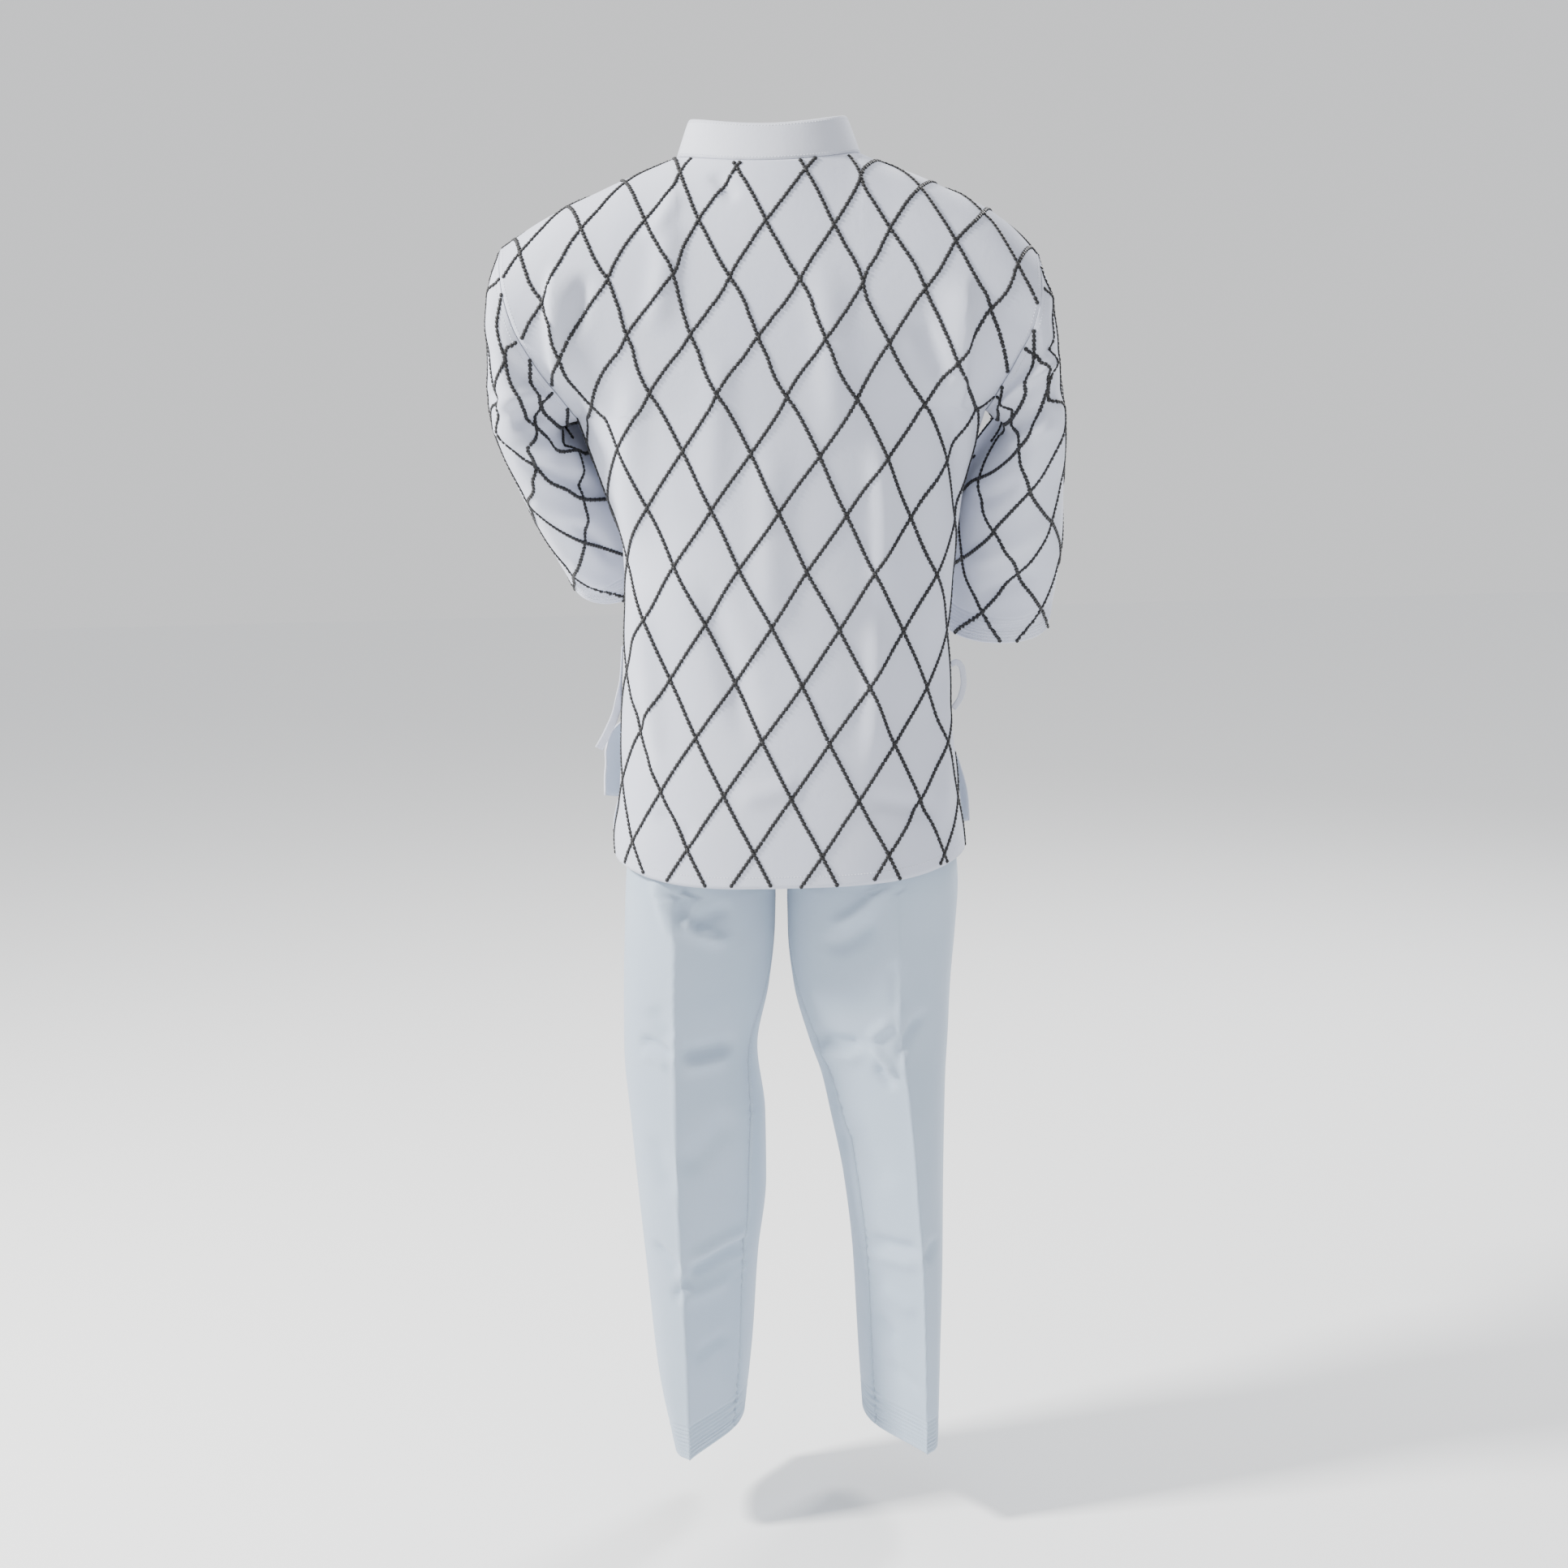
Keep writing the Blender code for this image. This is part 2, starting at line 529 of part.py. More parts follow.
tape("tie_left", [(-0.1731, -0.008, -0.478), (-0.1760, -0.008, -0.512), (-0.1812, -0.008, -0.545),
                  (-0.1925, -0.009, -0.572), (-0.2030, -0.010, -0.590)],
     [(0.0, 1, 0), (0.1, 1, 0), (1, 0.6, 0), (1, 0.2, -0.5), (1, 0.2, -0.6)], 0.009, WHITE)
tape("tie_right", [(0.1866, -0.003, -0.5075), (0.1925, -0.003, -0.5045), (0.1990, -0.003, -0.5115),
                   (0.2005, -0.003, -0.5270), (0.1970, -0.003, -0.5430), (0.1886, -0.003, -0.5560)],
     [(0, 0.1, 1), (0.5, 0.1, 0.8), (1, 0.1, 0.3), (1, 0.1, -0.1), (0.8, 0.1, -0.4), (0.7, 0.1, -0.7)], 0.0065, WHITE)
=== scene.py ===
"""Hapkido uniform: wrap jacket with standing collar band, diamond stitching and ties, over pressed trousers.

Metres, +Z up.  The wearer faces +Y, so the camera at -Y sees the back.  The origin is the centre of the
neck base.
Each cloth piece is a thin shell on the surface of its solid, finer and with its folds pushed in or out of it.
"""
import bpy
import numpy as np
from mathutils import Matrix, Vector


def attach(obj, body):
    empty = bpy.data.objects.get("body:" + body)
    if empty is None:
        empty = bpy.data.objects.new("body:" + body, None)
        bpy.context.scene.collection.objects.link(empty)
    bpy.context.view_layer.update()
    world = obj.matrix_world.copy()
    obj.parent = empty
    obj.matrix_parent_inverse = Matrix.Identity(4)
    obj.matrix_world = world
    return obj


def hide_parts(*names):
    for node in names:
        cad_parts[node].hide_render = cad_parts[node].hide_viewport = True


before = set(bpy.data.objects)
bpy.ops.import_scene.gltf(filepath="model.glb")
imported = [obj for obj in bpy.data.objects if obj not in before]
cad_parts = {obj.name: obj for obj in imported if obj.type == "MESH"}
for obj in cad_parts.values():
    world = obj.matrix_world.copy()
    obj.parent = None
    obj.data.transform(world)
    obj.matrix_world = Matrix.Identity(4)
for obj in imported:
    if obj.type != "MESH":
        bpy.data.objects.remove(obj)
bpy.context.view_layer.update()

PI = np.pi

JACKET_WALL = 0.0015
BAND_WALL = 0.0026
TROUSER_WALL = 0.0014
TAPE_WALL = 0.0012

# Jacket sizes
UNDERARM_Z = -0.232
NECK_HALF = 0.0975
NECK_BACK_DIP = 0.012
NECK_BACK_SHARE = 0.62
HEM_Z = -0.729
HEM_SIDE_RISE = 0.022
SIDE_ROUND = 2.5
SHOULDER_ROUND = 2.4
LAYER_LIFT = 0.0040
BAND_WIDE = 0.041

VENT_TURN = 0.42
UNDER_SPREAD = 0.040
OVER_FLARE = np.array([-0.020, 0.0, 0.0])
UNDER_FLARE = np.array([0.026, 0.0, 0.020])
UNDER_SWING = np.array([-0.032, -0.038, 0.0])
UNDER_RISE = np.array([0.0, 0.0, 0.066])

# Half-widths of the body, wearer's left and right: height, left, right
BODY_WIDTH = (
    (-0.740, 0.186, 0.200),
    (-0.690, 0.189, 0.198),
    (-0.650, 0.183, 0.194),
    (-0.600, 0.179, 0.189),
    (-0.550, 0.176, 0.185),
    (-0.480, 0.172, 0.185),
    (-0.420, 0.168, 0.188),
    (-0.370, 0.169, 0.194),
    (-0.310, 0.187, 0.203),
    (-0.260, 0.203, 0.218),
    (-0.232, 0.212, 0.227),
)
# Armhole seam: share of its height, half-width left and right
ARMHOLE_WIDTH = (
    (0.00, 0.212, 0.227),
    (0.10, 0.226, 0.238),
    (0.25, 0.247, 0.253),
    (0.50, 0.270, 0.272),
    (0.75, 0.281, 0.280),
    (1.00, 0.286, 0.281),
)
# Shoulder line: distance from the middle, height on the wearer's left, on the right
SHOULDER_LINE = (
    (0.0975, 0.040, 0.040),
    (0.120, 0.031, 0.030),
    (0.155, 0.018, 0.017),
    (0.185, 0.005, 0.003),
    (0.215, -0.008, -0.011),
    (0.250, -0.026, -0.034),
    (0.286, -0.050, -0.072),
)
# Depth of the body: height, back, front
BODY_DEPTH = (
    (-0.740, 0.128, 0.132),
    (-0.600, 0.120, 0.126),
    (-0.450, 0.112, 0.120),
    (-0.300, 0.112, 0.120),
    (-0.150, 0.116, 0.118),
    (0.050, 0.116, 0.112),
)
# Front edge of a wrapped front: share of the height above the underarm (below it: height), distance past
# the middle
EDGE_HIGH = (
    (0.00, 0.030),
    (0.30, -0.012),
    (0.55, -0.048),
    (0.80, -0.078),
    (0.93, -0.092),
    (1.00, -0.0975),
)
EDGE_LOW = (
    (-0.740, 0.112),
    (-0.460, 0.112),
    (-0.380, 0.096),
    (-0.300, 0.063),
    (-0.232, 0.030),
)
# Sleeve loops: run, centre x, y, z, half-width, its tilt, half-depth, its tilt (degrees)
SLEEVE_LEFT = (
    (0.00, 0.247, 0.000, -0.143, 0.094, 66.0, 0.088, 0.0),
    (0.18, 0.259, 0.002, -0.161, 0.082, 62.0, 0.088, 8.0),
    (0.36, 0.268, 0.006, -0.212, 0.050, 38.0, 0.087, 20.0),
    (0.54, 0.247, 0.038, -0.266, 0.049, 8.0, 0.080, 42.0),
    (0.76, 0.216, 0.098, -0.338, 0.050, -4.0, 0.068, 48.0),
    (1.00, 0.188, 0.150, -0.402, 0.052, -8.0, 0.056, 42.0),
)
SLEEVE_RIGHT = (
    (0.00, 0.250, 0.000, -0.148, 0.094, 64.0, 0.088, 0.0),
    (0.18, 0.262, 0.002, -0.170, 0.081, 60.0, 0.088, 8.0),
    (0.36, 0.276, 0.006, -0.226, 0.046, 38.0, 0.086, 20.0),
    (0.54, 0.262, 0.036, -0.292, 0.055, 8.0, 0.076, 34.0),
    (0.76, 0.256, 0.080, -0.384, 0.062, 0.0, 0.062, 32.0),
    (1.00, 0.247, 0.120, -0.470, 0.062, -2.0, 0.052, 26.0),
)

# Trouser sizes
WAIST_Z = -0.430
CROTCH_Z = -0.745
TROUSER_HEM_Z = -1.386
# How far the inner seam lies in front of the outer one at the hem
LEG_TURN = 0.08
# How flat the pressed leg lies beside its creases: height, share
CREASE_FLAT = (
    (-1.386, 0.50),
    (-1.300, 0.45),
    (-1.150, 0.40),
    (-0.800, 0.36),
    (-0.720, 0.10),
    (-0.430, 0.00),
)
# Legs: height, outer, inner, back crease, front crease (from the middle), depth behind, depth in front
LEG_LEFT = (
    (-0.430, 0.150, 0.000, 0.080, 0.080, 0.082, 0.084),
    (-0.560, 0.160, 0.000, 0.100, 0.092, 0.090, 0.088),
    (-0.660, 0.170, 0.000, 0.115, 0.100, 0.094, 0.090),
    (-0.745, 0.179, 0.011, 0.122, 0.104, 0.097, 0.092),
    (-0.800, 0.182, 0.014, 0.123, 0.104, 0.098, 0.098),
    (-0.860, 0.185, 0.022, 0.125, 0.104, 0.096, 0.096),
    (-0.935, 0.187, 0.037, 0.127, 0.106, 0.090, 0.096),
    (-1.010, 0.182, 0.030, 0.128, 0.106, 0.092, 0.092),
    (-1.090, 0.176, 0.031, 0.128, 0.104, 0.092, 0.088),
    (-1.185, 0.168, 0.043, 0.126, 0.100, 0.091, 0.086),
    (-1.290, 0.159, 0.052, 0.124, 0.094, 0.090, 0.084),
    (-1.386, 0.142, 0.064, 0.124, 0.088, 0.088, 0.082),
)
LEG_RIGHT = (
    (-0.430, 0.158, 0.000, 0.080, 0.080, 0.082, 0.084),
    (-0.560, 0.170, 0.000, 0.100, 0.092, 0.090, 0.088),
    (-0.660, 0.182, 0.000, 0.115, 0.100, 0.094, 0.090),
    (-0.745, 0.191, 0.000, 0.120, 0.104, 0.097, 0.092),
    (-0.800, 0.187, 0.000, 0.120, 0.104, 0.098, 0.098),
    (-0.860, 0.181, 0.005, 0.120, 0.105, 0.096, 0.096),
    (-0.925, 0.177, 0.021, 0.123, 0.107, 0.090, 0.096),
    (-0.965, 0.174, 0.034, 0.128, 0.109, 0.091, 0.094),
    (-1.010, 0.172, 0.043, 0.132, 0.110, 0.092, 0.092),
    (-1.090, 0.169, 0.057, 0.137, 0.112, 0.092, 0.088),
    (-1.185, 0.166, 0.066, 0.142, 0.112, 0.091, 0.086),
    (-1.290, 0.161, 0.070, 0.143, 0.110, 0.090, 0.084),
    (-1.386, 0.157, 0.074, 0.143, 0.106, 0.088, 0.082),
)

# The camera that the photo was taken with: focal length and middle in its pixels, roll as a share, and the
# camera's place and downward tilt in real units
PHOTO_WIDE = 1932
PHOTO_FOCAL = 2809
PHOTO_MIDDLE = PHOTO_WIDE / 2
PHOTO_ROLL = 0.0244
CAMERA_BACK = 2.5
CAMERA_HIGH = -0.26
CAMERA_DOWN = np.radians(8.55)

# How much the folds are raised over the first reading of the photo, so that they show in soft light
JACKET_FOLD_GAIN = 1.7
SLEEVE_FOLD_GAIN = 1.6
TROUSER_FOLD_GAIN = 1.35
# A deep tuck, of at least this rise, is raised less
TUCK_GAIN = 1.25
TUCK_RISE = 0.007
# Metres to a photo pixel at the cloth, for the bows alone
BOW_SCALE = 0.00086

# Folds seen from behind, read one by one: start x and y, end x and y, and bow in photo pixels, then rise (a
# trough is negative), soft width below or left of the fold and above or right of it in mm, and depth of the
# cloth in metres.
# Folds on the hidden front: start x and z, end x and z, and bow in metres, then rise and the two widths in
# mm.
# Jacket body: the two tucks behind the armholes, then the long soft folds and short hem creases
BODY_SEEN = (
    (686, 318, 694, 490, -8, 9, 5, 26, -0.075),
    (1190, 330, 1176, 520, 5, 9, 24, 5, -0.075),
    (700, 470, 715, 640, 4, -5, 10, 10, -0.075),
    (1172, 500, 1190, 660, 4, -4, 10, 12, -0.075),
    (783, 440, 786, 720, -12, 4, 14, 18, -0.1),
    (772, 700, 802, 985, 8, 4.5, 12, 14, -0.1),
    (820, 250, 800, 420, 6, 3, 12, 16, -0.11),
    (872, 205, 905, 250, 3, -2.5, 7, 9, -0.11),
    (835, 225, 790, 300, 4, 2.5, 8, 10, -0.11),
    (1075, 525, 1082, 760, 10, 4, 12, 14, -0.1),
    (1078, 740, 1070, 960, 6, 3.5, 12, 12, -0.1),
    (1150, 520, 1140, 830, 8, 4, 12, 15, -0.09),
    (1010, 300, 1030, 560, 4, 2.5, 16, 20, -0.11),
    (950, 520, 955, 800, -6, 2.5, 16, 20, -0.11),
    (858, 700, 925, 930, 6, -3.5, 16, 16, -0.11),
    (885, 420, 870, 640, 3, 2, 18, 16, -0.11),
    (1120, 380, 1165, 480, 3, -3, 10, 10, -0.09),
    (725, 330, 700, 430, 3, -3, 9, 9, -0.08),
    (800, 1000, 860, 1040, 3, -2.5, 9, 9, -0.115),
    (900, 985, 990, 960, -4, 2, 12, 12, -0.115),
    (1060, 985, 1160, 1010, 3, -2.5, 10, 10, -0.115),
    (780, 860, 800, 960, 2, -3, 7, 9, -0.1),
    (1165, 830, 1160, 1040, 3, 3, 8, 10, -0.09),
)
BODY_HIDDEN = (
    (-0.150, -0.070, -0.060, -0.290, 0.010, 5, 12, 20),
    (-0.190, -0.120, -0.130, -0.330, 0.008, -4, 12, 14),
    (0.160, -0.090, 0.090, -0.280, -0.010, 4.5, 20, 12),
    (0.200, -0.150, 0.150, -0.350, -0.006, -3.5, 14, 12),
    (-0.150, -0.360, 0.020, -0.430, 0.010, 4.5, 14, 12),
    (-0.160, -0.400, -0.020, -0.480, 0.008, -4, 12, 12),
    (0.150, -0.380, 0.060, -0.450, -0.006, 4, 12, 14),
    (-0.100, -0.470, -0.115, -0.690, 0.006, 4.5, 12, 16),
    (-0.035, -0.480, -0.040, -0.740, -0.006, 3.5, 14, 14),
    (0.030, -0.470, 0.045, -0.700, 0.006, -3.5, 14, 12),
    (0.140, -0.470, 0.150, -0.690, 0.004, 4, 12, 14),
)
# Left sleeve: elbow pinch, forearm folds, upper sleeve
SLEEVE_LEFT_SEEN = (
    (617, 508, 697, 492, 10, 5, 7, 9, 0),
    (599, 482, 622, 506, 2, -4.5, 6, 7, 0),
    (640, 530, 690, 512, 5, -4, 6, 6, 0),
    (608, 512, 700, 560, -8, 5, 9, 8, 0.02),
    (645, 570, 744, 612, 6, -4.5, 7, 7, 0.04),
    (700, 548, 716, 592, 2, 4, 6, 7, 0.02),
    (650, 600, 735, 648, -5, 4, 10, 9, 0.05),
    (693, 625, 766, 703, 5, -3, 8, 9, 0.07),
    (700, 690, 760, 730, -3, 3, 9, 9, 0.09),
    (625, 300, 605, 440, -6, 4, 10, 12, -0.05),
    (612, 430, 690, 470, -10, -3.5, 9, 9, -0.05),
    (655, 470, 700, 470, 2, 3, 6, 6, -0.04),
)
SLEEVE_LEFT_HIDDEN = (
    (-0.300, -0.205, -0.235, -0.215, 0.006, 4.5, 8, 8),
    (-0.290, -0.250, -0.220, -0.280, -0.006, -4, 8, 8),
    (-0.270, -0.310, -0.190, -0.350, 0.006, 3.5, 9, 9),
    (-0.290, -0.080, -0.280, -0.180, -0.006, 3.5, 10, 12),
)
# Right sleeve: twist at the elbow, underarm folds, forearm and cuff folds
SLEEVE_RIGHT_SEEN = (
    (1303, 440, 1219, 516, -6, 8, 7, 5, 0),
    (1275, 434, 1303, 437, 2, -4, 5, 6, 0),
    (1180, 506, 1272, 452, 10, -4, 8, 7, -0.04),
    (1196, 500, 1245, 478, 3, 4, 6, 6, -0.04),
    (1240, 530, 1305, 470, -5, -4, 7, 8, 0),
    (1232, 560, 1292, 520, 5, 3.5, 8, 8, 0.02),
    (1290, 470, 1300, 600, 4, 4, 8, 9, 0),
    (1192, 620, 1250, 590, -4, -3, 9, 9, 0.04),
    (1185, 700, 1290, 640, -4, 3.5, 12, 12, 0.05),
    (1190, 740, 1285, 705, 4, -3, 10, 10, 0.07),
    (1180, 770, 1280, 752, -3, 2.5, 7, 8, 0.09),
    (1255, 280, 1290, 400, 8, 4, 11, 12, -0.05),
    (1200, 330, 1268, 460, 6, -3, 9, 10, -0.06),
)
SLEEVE_RIGHT_HIDDEN = (
    (0.300, -0.210, 0.240, -0.225, -0.006, 4.5, 8, 8),
    (0.300, -0.270, 0.235, -0.300, 0.006, -4, 8, 8),
    (0.300, -0.340, 0.215, -0.375, -0.006, 3.5, 9, 9),
    (0.285, -0.080, 0.290, -0.180, 0.006, 3.5, 10, 12),
)
# Left leg: seat drapes, knee fold, calf fold
LEG_LEFT_SEEN = (
    (806, 1070, 832, 1158, -3, 5, 6, 8, -0.09),
    (848, 1075, 838, 1140, 2, -5, 8, 8, -0.09),
    (836, 1128, 906, 1163, -8, 5, 8, 6, -0.09),
    (845, 1150, 905, 1120, 3, -5, 9, 9, -0.09),
    (782, 1288, 832, 1306, 5, -5, 7, 6, -0.09),
    (834, 1300, 912, 1292, -4, -5.5, 7, 9, -0.09),
    (836, 1316, 905, 1308, -3, 3.5, 8, 7, -0.09),
    (786, 1304, 826, 1318, 3, 3, 7, 6, -0.09),
    (833, 1450, 905, 1375, -6, -4, 14, 16, -0.09),
    (800, 1538, 840, 1572, 2, -5, 8, 6, -0.09),
    (840, 1576, 930, 1548, 5, -5, 8, 7, -0.09),
    (842, 1560, 925, 1535, 4, 4.5, 8, 8, -0.09),
    (828, 1608, 856, 1573, 2, -4, 6, 6, -0.09),
    (836, 1600, 905, 1590, -3, 3, 10, 8, -0.09),
    (800, 1400, 826, 1480, 4, -3, 12, 12, -0.09),
    (800, 1240, 824, 1290, 3, -3, 12, 10, -0.09),
    (850, 1680, 905, 1665, 3, -2.5, 9, 9, -0.09),
)
LEG_LEFT_HIDDEN = (
    (-0.160, -0.905, -0.110, -0.915, 0.004, -4.5, 8, 7),
    (-0.105, -0.915, -0.045, -0.900, -0.004, -4.5, 8, 9),
    (-0.150, -0.930, -0.060, -0.935, 0.004, 3.5, 9, 8),
    (-0.150, -0.790, -0.060, -0.830, 0.010, 4, 12, 12),
    (-0.145, -1.140, -0.060, -1.165, 0.006, -4.5, 9, 8),
    (-0.140, -1.230, -0.070, -1.215, -0.004, 3.5, 10, 9),
)
# Right leg: seat drapes, knee folds beside the crease, calf fold
LEG_RIGHT_SEEN = (
    (1016, 1147, 1092, 1078, -12, 5, 9, 6, -0.09),
    (1010, 1175, 1080, 1125, -10, -4, 10, 9, -0.09),
    (1000, 1288, 1070, 1291, -3, -5.5, 8, 8, -0.09),
    (1005, 1310, 1068, 1306, -2, 3, 8, 8, -0.09),
    (1069, 1290, 1106, 1330, 2, 5.5, 6, 5, -0.09),
    (1069, 1288, 1104, 1254, 2, 4.5, 6, 6, -0.09),
    (1080, 1312, 1104, 1345, -2, -4, 6, 7, -0.09),
    (1147, 1246, 1106, 1318, -8, -5, 7, 6, -0.09),
    (1100, 1180, 1104, 1250, 2, -3, 8, 8, -0.09),
    (1066, 1546, 1141, 1540, -3, -5, 8, 9, -0.09),
    (1068, 1560, 1139, 1558, -2, 3.5, 9, 8, -0.09),
    (1160, 1530, 1142, 1560, -3, -4, 6, 6, -0.09),
    (1078, 1640, 1104, 1672, 3, -3, 7, 8, -0.09),
    (1085, 1600, 1135, 1620, -4, 3, 12, 10, -0.09),
    (1030, 1400, 1100, 1480, 8, -3, 16, 18, -0.09),
    (1090, 1700, 1138, 1722, 3, -2.5, 8, 8, -0.09),
)
LEG_RIGHT_HIDDEN = (
    (0.040, -0.900, 0.105, -0.918, 0.004, -4.5, 8, 8),
    (0.110, -0.918, 0.165, -0.900, -0.004, -4.5, 8, 8),
    (0.045, -0.930, 0.150, -0.938, 0.004, 3.5, 9, 8),
    (0.060, -0.830, 0.150, -0.785, -0.010, 4, 12, 12),
    (0.070, -1.160, 0.145, -1.140, 0.006, -4.5, 9, 8),
    (0.080, -1.225, 0.140, -1.235, -0.004, 3.5, 10, 9),
)

# Diamond stitching on the back, on the flat cloth: a crossing near the middle, the step to the next crossing
# in its row, and the half step down to the next row, fitted to the crossings read in the photo
DIAMOND_START = np.array([-0.034, 0.025])
DIAMOND_ACROSS = np.array([0.0723, -0.0043])
DIAMOND_DOWN = np.array([-0.0060, -0.0597])
STITCH_PITCH = 0.0046
THREAD_PITCH = 0.0034
# Steps that a stitch's length is followed in
FINE_STEPS = 8
ROW_SPACE = 0.0048
CUFF_ROWS = 8

# How far round the leg the inner seam lies: height, turn
INSEAM_TURN = (
    (-1.386, 2.52),
    (-1.100, 2.50),
    (-0.900, 2.75),
    (-0.790, 3.10),
    (-0.745, PI),
    (-0.430, PI),
)


def curve(table, at, column=1):
    """Smooth value of one table column: a cubic between neighbouring rows, with slopes that never
    overshoot."""
    rows = np.array(table, float)
    x = rows[:, 0]
    y = rows[:, column]
    step = np.diff(x)
    slope = np.diff(y) / step
    lean = np.zeros_like(y)
    both = slope[1:] * slope[:-1]
    safe = np.where(both > 0, slope[1:] + slope[:-1], 1.0)
    lean[1:-1] = np.where(both > 0, 2 * both / safe, 0.0)
    lean[0] = slope[0]
    lean[-1] = slope[-1]
    at = np.clip(np.asarray(at, float), x[0], x[-1])
    k = np.clip(np.searchsorted(x, at) - 1, 0, len(x) - 2)
    h = step[k]
    t = (at - x[k]) / h
    u = 1 - t
    return (u * u * (1 + 2 * t) * y[k] + t * t * (3 - 2 * t) * y[k + 1]
            + h * t * u * (u * lean[k] - t * lean[k + 1]))


def ease(value, low, high):
    """Zero below low, one above high, and the cubic 3t2 - 2t3 between."""
    t = np.clip((value - low) / (high - low), 0.0, 1.0)
    return t * t * (3 - 2 * t)


def power(value, exponent):
    """The size of a value raised to an exponent, with the value's own sign."""
    return np.sign(value) * np.abs(value) ** exponent


def unit(v):
    """A vector divided by its length."""
    return v / np.maximum(np.linalg.norm(v, axis=-1, keepdims=True), 1e-12)


def normals(surface, us, vs, eps=0.004):
    """Cross product of the steps that a surface makes for a small change of each of its two parameters."""
    du = surface(us + eps, vs) - surface(us - eps, vs)
    dv = surface(us, vs + eps) - surface(us, vs - eps)
    return unit(np.cross(du, dv))


def seen_at(x, y, depth):
    """Where the line of sight through a photo point meets the upright plane at a depth: x and z in
    metres."""
    across = x - PHOTO_MIDDLE - (y - PHOTO_MIDDLE) * PHOTO_ROLL
    up = PHOTO_MIDDLE - y - (x - PHOTO_MIDDLE) * PHOTO_ROLL
    reach = (depth + CAMERA_BACK) / (PHOTO_FOCAL * np.cos(CAMERA_DOWN) + up * np.sin(CAMERA_DOWN))
    climb = up * np.cos(CAMERA_DOWN) - PHOTO_FOCAL * np.sin(CAMERA_DOWN)
    return across * reach, CAMERA_HIGH + climb * reach


def fold_lines(seen, hidden, gain):
    """Both tables as lines in metres: face (-1 back, 1 front), start, end, bow, rise, and the two soft
    widths. Places are taken to the millimetre; a deep tuck is raised by its own gain."""
    lines = []
    for x0, y0, x1, y1, bow, *sizes, depth in seen:
        places = (*seen_at(x0, y0, depth), *seen_at(x1, y1, depth), bow * BOW_SCALE)
        lines.append((-1, [round(float(v), 3) for v in places], sizes))
    lines += [(1, row[:5], row[5:]) for row in hidden]
    done = []
    for face, places, (rise, below, above) in lines:
        rise = rise / 1000
        rise = round(rise * (gain if abs(rise) < TUCK_RISE else TUCK_GAIN), 4)
        done.append((face, *places, rise, below / 1000, above / 1000))
    return done


BODY_FOLDS = fold_lines(BODY_SEEN, BODY_HIDDEN, JACKET_FOLD_GAIN)
SLEEVE_LEFT_FOLDS = fold_lines(SLEEVE_LEFT_SEEN, SLEEVE_LEFT_HIDDEN, SLEEVE_FOLD_GAIN)
SLEEVE_RIGHT_FOLDS = fold_lines(SLEEVE_RIGHT_SEEN, SLEEVE_RIGHT_HIDDEN, SLEEVE_FOLD_GAIN)
LEG_LEFT_FOLDS = fold_lines(LEG_LEFT_SEEN, LEG_LEFT_HIDDEN, TROUSER_FOLD_GAIN)
LEG_RIGHT_FOLDS = fold_lines(LEG_RIGHT_SEEN, LEG_RIGHT_HIDDEN, TROUSER_FOLD_GAIN)


def folded(point, outward, folds, strength=1.0):
    """Cloth with its folds: each point moves along its outward direction by a sum of bells across bowed
    lines. A bell eases away at the two ends of its line and where the cloth turns from the side it is seen
    on."""
    rise = np.zeros(point.shape[:-1])
    for face, x0, z0, x1, z1, bow, high, wide_low, wide_high in folds:
        length = np.hypot(x1 - x0, z1 - z0)
        way_x, way_z = (x1 - x0) / length, (z1 - z0) / length
        rel_x, rel_z = point[..., 0] - x0, point[..., 2] - z0
        t = np.clip((rel_x * way_x + rel_z * way_z) / length, -0.2, 1.2)
        off = rel_z * way_x - rel_x * way_z - bow * 4 * t * (1 - t)
        wide = np.where(off < 0, wide_low, wide_high)
        ends = ease(t, 0.0, 0.3) * (1 - ease(t, 0.7, 1.0))
        rise += high * np.exp(-(off / wide) ** 2) * ends * ease(face * outward[..., 1], 0.0, 0.4)
    return point + outward * (rise * strength)[..., None]


